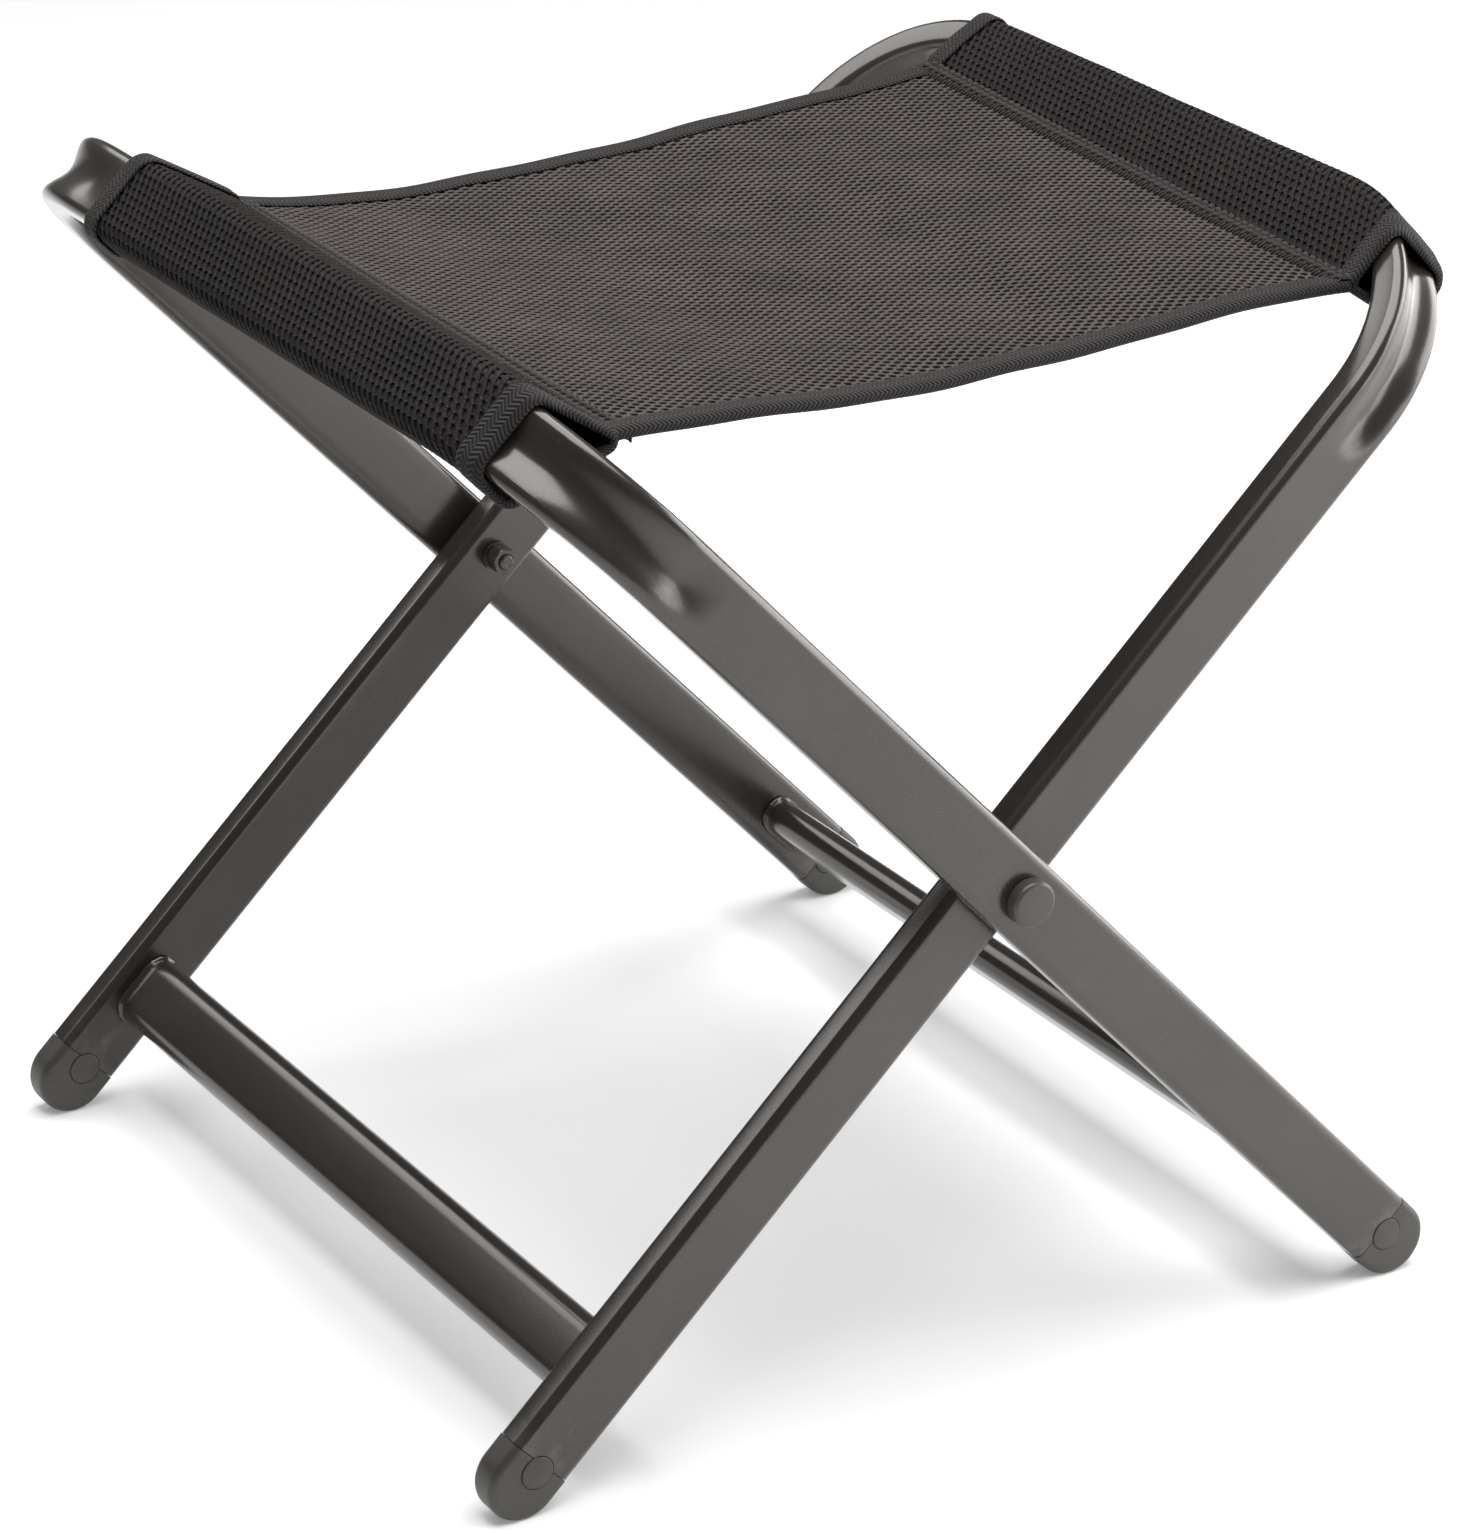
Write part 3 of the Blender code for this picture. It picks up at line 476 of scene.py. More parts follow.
def cross_tube(name, width, axis, body):
    half = width / 2 - TUBE_T - GAP
    base = oval(CROSS_W, CROSS_T, 20)
    normal = np.array([b - a for a, b in zip(np.roll(base, 1, 0), np.roll(base, -1, 0))])
    normal = np.stack([normal[:, 1], -normal[:, 0]], 1)
    normal /= np.linalg.norm(normal, axis=1)[:, None]
    rows = []
    # the weld: a fillet that flares towards the leg, with the ripples of the pass
    flare = [(0.0, 0.0016), (0.0004, 0.0017), (0.0010, 0.0014), (0.0016, 0.0008), (0.0020, 0.0003), (0.0024, 0.0), (0.0060, 0.0)]
    along = np.linspace(0, 1, len(base), endpoint=False)
    ripple = 0.5 + 0.5 * np.sin(along * 2 * math.pi * 26)
    lumps = 0.5 + 0.5 * np.sin(along * 2 * math.pi * 5 + 1.0)
    ys = []
    for at, out in flare:
        ys.append((-half + at, out))
    for k in range(1, 24):
        ys.append((-half + 0.0060 + (2 * half - 0.0120) * k / 24, 0.0))
    for at, out in reversed(flare):
        ys.append((half - at, out))
    for y, out in ys:
        grown = base + normal * (out * (0.62 + 0.20 * ripple + 0.18 * lumps))[:, None]
        rows.append(np.stack([grown[:, 0] + CROSS_AT, np.full(len(base), y), grown[:, 1]], 1))
    size = len(base)
    faces = loft((len(rows), size), True) + [tuple(range(size)), tuple(range((len(rows) - 1) * size, len(rows) * size))]
    obj = outward(add_mesh(name + "_shape", to_row(np.concatenate(rows), axis), faces, [COAT], sharp=50))
    return finished(obj, body, "frame_coating", name)


cross_tube("outer_cross_tube", OUTER_WIDTH, OUTER_AXIS, "outer_frame")
cross_tube("inner_cross_tube", INNER_WIDTH, INNER_AXIS, "inner_frame")


# ------------------------------------------------------------------ foot caps
def foot_cap(name, seam, y, axis, body):
    bm = bmesh.new()
    steps = 40
    start, centre = seam + GAP, seam + FOOT_STRAIGHT
    outline = [(start, -FOOT_R)]
    for k in range(steps + 1):
        a = math.radians(-90.0 + 180.0 * k / steps)
        outline.append((centre + FOOT_R * math.cos(a), FOOT_R * math.sin(a)))
    outline.append((start, FOOT_R))
    verts = [bm.verts.new((x, -TUBE_T / 2, z)) for x, z in outline]
    base = bm.faces.new(verts)
    grown = bmesh.ops.extrude_face_region(bm, geom=[base])
    moved = [g for g in grown["geom"] if isinstance(g, bmesh.types.BMVert)]
    bmesh.ops.translate(bm, verts=moved, vec=(0, TUBE_T, 0))
    rim = []
    for edge in bm.edges:
        a, b = edge.verts
        flat = abs(a.co.y - b.co.y) < 1e-6
        on_seam = abs(a.co.x - start) < 1e-6 and abs(b.co.x - start) < 1e-6
        if flat and not on_seam:
            rim.append(edge)
    bmesh.ops.bevel(bm, geom=rim, offset=FOOT_EDGE, segments=8, profile=0.5, affect="EDGES")
    bmesh.ops.translate(bm, verts=bm.verts, vec=(0, y, 0))
    bmesh.ops.recalc_face_normals(bm, faces=bm.faces)
    mesh = bpy.data.meshes.new(name + "_shape")
    bm.to_mesh(mesh)
    bm.free()
    obj = bpy.data.objects.new(name + "_shape", mesh)
    bpy.context.scene.collection.objects.link(obj)
    temporary = []

    def cutter(label, maker):
        work = bmesh.new()
        maker(work)
        holder = bpy.data.meshes.new(label)
        work.to_mesh(holder)
        work.free()
        made = bpy.data.objects.new(label, holder)
        bpy.context.scene.collection.objects.link(made)
        temporary.append(made)
        return made

    def disc(radius, depth):
        return lambda work: bmesh.ops.create_cone(work, cap_ends=True, segments=72, radius1=radius, radius2=radius, depth=depth,
                                                  matrix=Matrix.Translation((seam + BOSS_AT, y, 0)) @ Matrix.Rotation(math.pi / 2, 4, "X"))

    def boss_shape(work):
        disc(BOSS_R, TUBE_T + 2 * BOSS_PROUD + 0.0004)(work)
        rims = [e for e in work.edges if abs(e.verts[0].co.y - e.verts[1].co.y) < 1e-6]
        bmesh.ops.bevel(work, geom=rims, offset=0.0005, segments=4, profile=0.5, affect="EDGES")

    # a shallow ring groove, then the boss in it
    def groove(work):
        for sign in (-1, 1):
            bmesh.ops.create_cone(work, cap_ends=True, segments=72, radius1=BOSS_R + 0.0003, radius2=BOSS_R + 0.0003, depth=0.0012,
                                  matrix=Matrix.Translation((seam + BOSS_AT, y + sign * TUBE_T / 2, 0)) @ Matrix.Rotation(math.pi / 2, 4, "X"))

    rotation = Matrix([list(r) for r in np.linalg.inv(axis)]).to_4x4()
    low = Matrix.Translation(-Vector(PIVOT))

    def ground(work):
        bmesh.ops.create_cube(work, size=1.0, matrix=Matrix.Translation((0, 0, -0.025)) @ Matrix.Diagonal((0.8, 0.6, 0.05, 1.0)))
        bmesh.ops.transform(work, matrix=rotation @ low, verts=work.verts)

    for operation, made in (("DIFFERENCE", cutter(name + "_groove", groove)), ("UNION", cutter(name + "_boss", boss_shape)),
                            ("DIFFERENCE", cutter(name + "_ground", ground))):
        change = obj.modifiers.new(operation.lower(), "BOOLEAN")
        change.operation, change.solver, change.object = operation, "EXACT", made
    apply_modifiers(obj)
    for made in temporary:
        bpy.data.objects.remove(made, do_unlink=True)
    obj.data.materials.clear()
    obj.data.materials.append(CAP_PLASTIC)
    obj.data.polygons.foreach_set("material_index", np.zeros(len(obj.data.polygons), np.int32))
    obj.data.shade_smooth()
    obj.data.set_sharp_from_angle(angle=math.radians(28))
    points = np.array([v.co for v in obj.data.vertices])
    obj.data.vertices.foreach_set("co", to_row(points, axis).astype(np.float32).ravel())
    obj.data.update()
    return finished(obj, body, "foot_plastic", name)


for side, sign in (("near", -1), ("far", 1)):
    foot_cap(f"outer_foot_cap_{side}", OUTER_SEAM, sign * (OUTER_WIDTH / 2 - TUBE_T / 2), OUTER_AXIS, "outer_frame")
    foot_cap(f"inner_foot_cap_{side}", INNER_SEAM, sign * (INNER_WIDTH / 2 - TUBE_T / 2), INNER_AXIS, "inner_frame")


# ------------------------------------------------------------------ pivots
def turned(name, profile, side, material, closed=False, steps=64, sharp=35):
    """profile is (radius, distance from mid-stool); side is -1 near or 1 far."""
    rows = []
    for k in range(steps):
        a = 2 * math.pi * k / steps
        rows.append([(PIVOT[0] + r * math.cos(a), PIVOT[1] + side * d, PIVOT[2] + r * math.sin(a)) for r, d in profile])
    size = len(profile)
    faces = []
    for k in range(steps):
        n = (k + 1) % steps
        for i in range(size if closed else size - 1):
            j = (i + 1) % size
            faces.append((k * size + i, k * size + j, n * size + j, n * size + i))
    obj = add_mesh(name, np.array(rows).reshape(-1, 3), faces, [material])
    bm = bmesh.new()
    bm.from_mesh(obj.data)
    bmesh.ops.remove_doubles(bm, verts=bm.verts, dist=1e-6)
    bmesh.ops.recalc_face_normals(bm, faces=bm.faces)
    bm.to_mesh(obj.data)
    bm.free()
    obj.data.shade_smooth()
    obj.data.set_sharp_from_angle(angle=math.radians(sharp))
    return obj


def rounded_rim(radius, top, rounding, steps=8):
    return [(radius - rounding + rounding * math.cos(a), top - rounding + rounding * math.sin(a))
            for a in (math.pi / 2 * (1 - k / steps) for k in range(steps + 1))]


outer_face, inner_face = OUTER_WIDTH / 2, INNER_WIDTH / 2
inner_inside = inner_face - TUBE_T
for side, sign in (("near", -1), ("far", 1)):
    base = outer_face + GAP
    cover = [(0, base + 0.0056), (0.0040, base + 0.00555)] + rounded_rim(0.0090, base + 0.0054, 0.0017) + [(0.0090, base), (0.0076, base), (0.0076, base + 0.0040), (0, base + 0.0040)]
    finished(turned(f"pivot_cover_{side}_shape", cover, sign, COVER_PLASTIC), "outer_frame", "cover_plastic", f"pivot_cover_{side}")
    nut_out = inner_inside - 0.0018
    # the six-sided nut, with its corners turned off at the outer end
    rows = []
    for depth, shrink in ((0.0, 1.0), (0.0056, 1.0), (0.0061, 0.975), (0.0066, 0.91)):
        ring = []
        for k in range(48):
            a = 2 * math.pi * k / 48
            flat = (a + math.pi / 6) % (math.pi / 3) - math.pi / 6
            r = min(0.0050 / math.cos(flat), 0.00565) * shrink if shrink == 1.0 else min(0.0050 / math.cos(flat), 0.0057 * shrink)
            ring.append((PIVOT[0] + r * math.cos(a + 0.35), sign * (nut_out - depth), PIVOT[2] + r * math.sin(a + 0.35)))
        rows.append(ring)
    for r, depth in ((0.0035, 0.0066), (0.0031, 0.0062)):
        rows.append([(PIVOT[0] + r * math.cos(2 * math.pi * k / 48 + 0.35), sign * (nut_out - depth), PIVOT[2] + r * math.sin(2 * math.pi * k / 48 + 0.35)) for k in range(48)])
    faces = loft((len(rows), 48), True) + [tuple(range(48)), tuple(range(5 * 48, 6 * 48))]
    nut = outward(add_mesh(f"pivot_nut_{side}_shape", np.array(rows).reshape(-1, 3), faces, [ZINC], sharp=25))
    finished(nut, "outer_frame", "dark_zinc", f"pivot_nut_{side}")
    end = [(0, nut_out - 0.0080), (0.0018, nut_out - 0.00795), (0.0024, nut_out - 0.0076), (0.0028, nut_out - 0.0068), (0.0028, nut_out - 0.0063), (0, nut_out - 0.0063)]
    finished(turned(f"pivot_bolt_{side}_end", end, sign, ZINC), "outer_frame", "dark_zinc")
    for name, material in (("pivot_bolt", ZINC), ("nut_washer", ZINC), ("spacer_washer", NYLON), ("pivot_bush", NYLON)):
        node = frame["nodes"][f"{name}_{side}"]
        node.data.materials.clear()
        node.data.materials.append(material)


# ------------------------------------------------------------------ sleeves round the rails
def to_leg(point, axis):
    local = axis.T @ np.array([point[0], 0.0, point[1]])
    return local[0], local[2]


def sleeve_outline(width, reach, y, seam, spread, count):
    """count points, evenly spaced round the taut outline of the rail and the seam, starting at the seam."""
    over = max(0.0, abs(y) - (width / 2 - BEND_R))
    outside = -reach + BEND_R - math.sqrt(BEND_R**2 - over**2)
    inside = -reach + BEND_R - math.sqrt((BEND_R - TUBE_T - 0.0004) ** 2 - over**2)
    circles = np.array([(outside + TUBE_R, TUBE_W / 2 - TUBE_R, TUBE_R), (outside + TUBE_R, -TUBE_W / 2 + TUBE_R, TUBE_R),
                        (inside - TUBE_R, TUBE_W / 2 - TUBE_R, TUBE_R), (inside - TUBE_R, -TUBE_W / 2 + TUBE_R, TUBE_R), (seam[0], seam[1], 0.0006)])
    cx = (outside + inside) / 2
    angles = np.arange(0, 360, 1.0) * math.pi / 180
    n = np.stack([np.cos(angles), np.sin(angles)], 1)
    support = ((circles[:, 0] - cx)[:, None] * n[None, :, 0] + circles[:, 1][:, None] * n[None, :, 1] + circles[:, 2][:, None]).max(0) + spread
    start = math.atan2(seam[1], seam[0] - cx)
    rays = start + np.arange(0, 361, 1.0) * math.pi / 180
    d = np.stack([np.cos(rays), np.sin(rays)], 1)
    dots = d @ n.T
    reach_of = np.where(dots > 0.02, support[None, :] / np.maximum(dots, 0.02), 1e9).min(1)
    points = d * reach_of[:, None]
    points[:, 0] += cx
    steps = np.concatenate([[0], np.cumsum(np.linalg.norm(np.diff(points, axis=0), axis=1))])
    at = np.linspace(0, steps[-1], count)
    return np.stack([np.interp(at, steps, points[:, 0]), np.interp(at, steps, points[:, 1])], 1), steps[-1]


class Sleeve:
    """A map from (turn 0..1, y) to the row frame, at a chosen distance off the rail."""

    def __init__(self, width, reach, span, near, far, axis, seed):
        self.width, self.reach, self.span, self.axis, self.seed = width, reach, span, axis, seed
        self.near, self.far = to_leg(near, axis), to_leg(far, axis)
        self.ys = np.linspace(span[0], span[1], 61)
        self.grid, self.length = {}, None

    def surface(self, spread):
        key = round(spread, 6)
        if key not in self.grid:
            rows, lengths = [], []
            for y in self.ys:
                t = (y - self.span[0]) / (self.span[1] - self.span[0])
                seam = (self.near[0] + (self.far[0] - self.near[0]) * t, self.near[1] + (self.far[1] - self.near[1]) * t)
                outline, length = sleeve_outline(self.width, self.reach, y, seam, spread, 241)
                rows.append(outline)
                lengths.append(length)
            self.grid[key] = np.array(rows)
            self.length = float(np.mean(lengths))
        return self.grid[key]

    def points(self, turn, y, spread):
        """turn and y are arrays; the cloth has shallow wrinkles that run round the rail."""
        grid = self.surface(spread)
        a = np.clip(turn, 0, 1) * (grid.shape[1] - 1)
        b = np.clip((y - self.span[0]) / (self.span[1] - self.span[0]), 0, 1) * (grid.shape[0] - 1)
        a0, b0 = np.minimum(a.astype(int), grid.shape[1] - 2), np.minimum(b.astype(int), grid.shape[0] - 2)
        fa, fb = (a - a0)[:, None], (b - b0)[:, None]
        p = (grid[b0, a0] * (1 - fa) * (1 - fb) + grid[b0, a0 + 1] * fa * (1 - fb) + grid[b0 + 1, a0] * (1 - fa) * fb + grid[b0 + 1, a0 + 1] * fa * fb)
        along = grid[b0, a0 + 1] - grid[b0, a0]
        normal = np.stack([along[:, 1], -along[:, 0]], 1)
        normal /= np.maximum(np.linalg.norm(normal, axis=1), 1e-12)[:, None]
        wave = (np.sin(y * 95 + self.seed + 2.2 * np.sin(turn * 6.3 + self.seed)) * 0.5 + np.sin(y * 210 + turn * 9 + 2 * self.seed) * 0.3
                + np.sin(y * 41 - turn * 12.6 + self.seed) * 0.5)
        p = p + normal * ((0.00012 + 0.00030 * (0.5 + 0.5 * wave / 1.3)) * np.sin(np.pi * np.clip(turn, 0, 1)) ** 0.5)[:, None]
        return to_row(np.stack([p[:, 0], y, p[:, 1]], 1), self.axis)


def net(name, place, along, across, hole, materials, wrap=False, keep=None, depth=0.0010, lean=0.0):
    """The open top layer of spacer mesh: staggered cells, each a rounded rim round a hole.
    along is (start, stop, cells) down each column of holes and across is (start, stop, columns).
    hole(s, t) gives the hole's share of its cell both ways."""
    s0, s1, cells = along
    t0, t1, columns = across
    ps, pt = (s1 - s0) / cells, (t1 - t0) / columns
    h1, h2 = pt * 0.36, pt * 0.64
    corner = np.array([(ps / 2, -h1), (ps / 2, h1), (ps / 4, (h1 + h2) / 2), (0, h2), (-ps / 4, (h1 + h2) / 2), (-ps / 2, h1),
                       (-ps / 2, -h1), (-ps / 4, -(h1 + h2) / 2), (0, -h2), (ps / 4, -(h1 + h2) / 2)])
    i, j = np.meshgrid(np.arange(cells), np.arange(columns), indexing="ij")
    cs = (s0 + (i + 0.25 + 0.5 * (j % 2)) * ps).ravel()
    ct = (t0 + (j + 0.5) * pt).ravel()
    if keep is not None:
        chosen = keep(cs, ct)
        cs, ct = cs[chosen], ct[chosen]
    count = len(cs)
    share_s, share_t = hole(cs, ct)
    angle = np.arctan2(corner[:, 1] / pt, corner[:, 0] / ps)
    ring = np.stack([np.cos(angle) * ps / 2, np.sin(angle) * pt / 2], 1)
    # lean is how far each hole slants towards the next column's hole, 1 being straight at it
    slant = lean * ps / 2 * np.sin(angle) / 2
    # hand-knitted looking drift of the hole inside its cell
    drift = np.stack([np.sin(cs * 5200 + ct * 3100), np.sin(cs * 2700 - ct * 6100)], 1) * np.array([ps, pt]) * 0.025

    def around(scale):
        return np.stack([cs[:, None] + drift[:, :1] + ring[None, :, 0] * share_s[:, None] * scale + slant[None, :] * share_t[:, None] * scale,
                         ct[:, None] + drift[:, 1:] + ring[None, :, 1] * share_t[:, None] * scale], 2).reshape(-1, 2)

    outer = np.stack([cs[:, None] + corner[None, :, 0], ct[:, None] + corner[None, :, 1]], 2).reshape(-1, 2)
    flat = np.concatenate([outer, around(1.15), around(0.90)])
    # the yarn arches over between the holes of one column and sinks where the columns meet
    rise = np.array([0.0, 0.0, -0.00016, -0.00030, -0.00016, 0.0, 0.0, -0.00016, -0.00030, -0.00016])
    lift = np.concatenate([np.tile(rise, count), np.full(10 * count, -0.00042), np.full(10 * count, -depth)])
    keys = np.round(outer / np.array([ps, pt]) * 400).astype(np.int64)
    if wrap:
        keys[:, 1] %= 400 * columns
    _, first, back = np.unique(keys, axis=0, return_index=True, return_inverse=True)
    back = back.ravel()
    shift = len(first)
    order = np.concatenate([first, np.arange(10 * count, 30 * count)])
    flat, lift = flat[order], lift[order]
    a = back.reshape(count, 10)
    b = shift + np.arange(10 * count).reshape(count, 10)
    c = b + 10 * count
    nxt = (np.arange(10) + 1) % 10
    top = np.stack([a, b, b[:, nxt], a[:, nxt]], 2).reshape(-1, 4)
    wall = np.stack([b, c, c[:, nxt], b[:, nxt]], 2).reshape(-1, 4)
    faces = np.concatenate([top, wall])
    # the hole walls take the second material, which is made dark as painted shade
    slots = np.concatenate([np.zeros(len(top)), np.ones(len(wall))]).astype(np.int32)
    verts, uvs = place(flat[:, 0], flat[:, 1], lift)
    return add_mesh(name, verts, faces, materials, uvs, slots)


MESH_X, MESH_Y = 0.0032, 0.0039
OUTSIDE = SLEEVE_EASE + SLEEVE_T
sleeves = {}
for side, width, reach, span, near, far, axis, seed in (
        ("left", OUTER_WIDTH, OUTER_REACH, LEFT_SLEEVE_Y, LEFT_SEAM_NEAR, LEFT_SEAM_FAR, OUTER_AXIS, 0.7),
        ("right", INNER_WIDTH, INNER_REACH, RIGHT_SLEEVE_Y, RIGHT_SEAM_NEAR, RIGHT_SEAM_FAR, INNER_AXIS, 2.9)):
    body = "outer_frame" if side == "left" else "inner_frame"
    sleeve = Sleeve(width, reach, span, near, far, axis, seed)
    sleeves[side] = sleeve
    sleeve.surface(OUTSIDE)
    around = sleeve.length
    columns = 2 * int(round(around / MESH_X / 2))
    cells = int(round((span[1] - span[0] - 0.004) / MESH_Y))

    def place(s, t, lift, sleeve=sleeve, around=around):
        base = sleeve.points(t % 1.0, s, OUTSIDE)
        low = sleeve.points(t % 1.0, s, OUTSIDE - 0.0010)
        share = (-lift / 0.0010)[:, None]
        return base * (1 - share) + low * share, np.stack([t * around, s], 1)

    top = net(f"seat_sleeve_{side}_mesh", place, (span[0] + 0.002, span[1] - 0.002, cells), (0.0, 1.0, columns),
              lambda s, t: (0.50 + 0.03 * np.sin(s * 90 + t * 12), np.full(len(s), 0.92)), [SLEEVE_YARN_SHADED, HOLE_WALL_SHADE], wrap=True, depth=0.0011, lean=-0.85)
    finished(top, body, "sleeve_knit")
    # the dense layer next to the rail
    turn, y = np.meshgrid(np.linspace(0, 1, 121), np.linspace(span[0] + 0.0006, span[1] - 0.0006, 71))
    under = add_mesh(f"seat_sleeve_{side}_cloth", sleeve.points(turn.ravel(), y.ravel(), SLEEVE_EASE + 0.0004), np.array(loft((71, 121), False)), [BACKING],
                     np.stack([turn.ravel() * around, y.ravel()], 1))
    thicken(under, 0.0006)
    finished(under, body, "sleeve_knit", f"seat_sleeve_{side}")
    # twill tape folded over both ends
    for end, edge, inward in (("near", span[0], 1), ("far", span[1], -1)):
        section = [(TAPE_W, 0.0004), (TAPE_W - 0.0008, 0.0009), (TAPE_W * 0.7, 0.0010), (TAPE_W * 0.4, 0.0010), (0.0022, 0.0012), (0.0010, 0.0012),
                   (0.0001, 0.0008), (-0.0004, 0.0000), (-0.0005, -0.0008), (-0.0002, -0.0014), (0.0006, -0.0018), (0.0020, -0.0019)]
        turns = np.linspace(0, 1, 181)
        verts, uvs = [], []
        distance = 0.0
        for k, (d, out) in enumerate(section):
            if k:
                distance += math.hypot(d - section[k - 1][0], out - section[k - 1][1])
            wobble = 0.00025 * np.sin(turns * 38 + k) * (1 if k < 9 else 0)
            points = sleeve.points(turns, np.full(181, edge + inward * max(d, 0.0)), OUTSIDE + out)
            points[:, 1] = edge + inward * d + wobble
            verts.append(points)
            uvs.append(np.stack([turns * around, np.full(181, distance)], 1))
        tape = add_mesh(f"sleeve_binding_{side}_{end}_tape", np.concatenate(verts), np.array(loft((len(section), 181), False)), [TAPE], np.concatenate(uvs))
        outward(tape)
        thicken(tape, 0.0005)
        finished(tape, body, "binding_tape", f"sleeve_binding_{side}_{end}")


# ------------------------------------------------------------------ seat panel
NEAR_EDGE = np.array([(-156.9, 192.8), (-116.4, 191.7), (-74.8, 188.3), (-49.5, 186.4), (-14.9, 184.3), (11.7, 184.8), (56.7, 186.6), (101.7, 187.7), (149.0, 187.6), (167.5, 187.7)]) / 1000
FAR_EDGE = np.array([(-159.2, 200.4), (-145.2, 196.7), (-106, 191.5), (-69.7, 189.0), (-33.2, 188.9), (12.4, 190.9), (60.2, 192.6), (99, 194.2), (138.9, 197.0), (158.3, 197.2)]) / 1000
near_fit = np.polyfit(NEAR_EDGE[:, 0], NEAR_EDGE[:, 1] + 0.0016, 4)
far_fit = np.polyfit(FAR_EDGE[:, 0], FAR_EDGE[:, 1] - 0.0016, 4)
SEAM_X = {"left": (LEFT_SEAM_NEAR[0] + SEAM_TIP, LEFT_SEAM_FAR[0] + SEAM_TIP), "right": (RIGHT_SEAM_NEAR[0] - SEAM_TIP, RIGHT_SEAM_FAR[0] - SEAM_TIP)}
X_LEFT, X_RIGHT = -0.1535, 0.1735


def edge_y(x, far):
    u = np.clip((x - X_LEFT) / (X_RIGHT - X_LEFT), 0, 1)
    a, b = (LEFT_SLEEVE_Y[1] - 0.0010, RIGHT_SLEEVE_Y[1] - 0.0010) if far else (LEFT_SLEEVE_Y[0] + 0.0010, RIGHT_SLEEVE_Y[0] + 0.0010)
    return a + (b - a) * u


def panel_height(x, v):
    zn, zf = np.polyval(near_fit, x), np.polyval(far_fit, x)
    u = np.clip((x - X_LEFT) / (X_RIGHT - X_LEFT), 0, 1)
    z = zn + (zf - zn) * v
    z = z - 0.0016 * 4 * v * (1 - v) * np.sin(np.pi * u) ** 0.7
    soft = np.sin(np.pi * u) ** 0.5
    z = z + soft * (0.00035 * np.sin(x * 62 + 3.0 * v + 0.6) + 0.00025 * np.sin(x * 118 - 5.0 * v) + 0.00022 * np.sin(v * 17 + x * 30))
    # gathers that fan out from the ends of the seams
    for cx, cv, reach in ((X_LEFT, 0.0, 0.06), (X_RIGHT, 0.0, 0.055), (X_LEFT, 1.0, 0.05), (X_RIGHT, 1.0, 0.05)):
        dx, dy = x - cx, (v - cv) * 0.28
        r = np.hypot(dx, dy)
        z = z + 0.0006 * np.exp(-((r / reach) ** 2)) * np.sin(np.arctan2(dy, dx) * 7.0) * np.clip(r / 0.02, 0, 1) * soft
    return z


def panel_points(x, y, lift):
    near, far = edge_y(x, False), edge_y(x, True)
    v = (y - near) / (far - near)

    def at(x, v):
        return np.stack([x, edge_y(x, False) + v * (edge_y(x, True) - edge_y(x, False)), panel_height(x, np.clip(v, 0, 1))], 1)

    p = at(x, v)
    e = 0.0008
    px, pv = at(x + e, v) - p, at(x, v + e) - p
    n = np.cross(px, pv)
    n /= np.linalg.norm(n, axis=1)[:, None]
    return p + n * np.asarray(lift)[:, None] + PIVOT


def stretched(s):
    """Distance from the near edge of a lattice row: the rows stand wider apart towards that edge."""
    return s + 0.006 * (1 - np.exp(-s / 0.012))


def open_share(s, t):
    """How open the mesh is: widest along the near edge and on the right, where it is stretched."""
    edge = np.exp(-np.maximum(s, 0) / 0.016)
    right = np.clip((t - 0.06) / 0.11, 0, 1)
    wave = 0.03 * np.sin(t * 150 + s * 80) + 0.02 * np.sin(t * 310 - s * 260)
    return np.clip(0.50 + 0.20 * edge + 0.05 * right + wave, 0.42, 0.74), np.clip(0.88 - 0.05 * edge, 0.6, 0.90)


def blend_half(obj):
    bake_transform(obj)


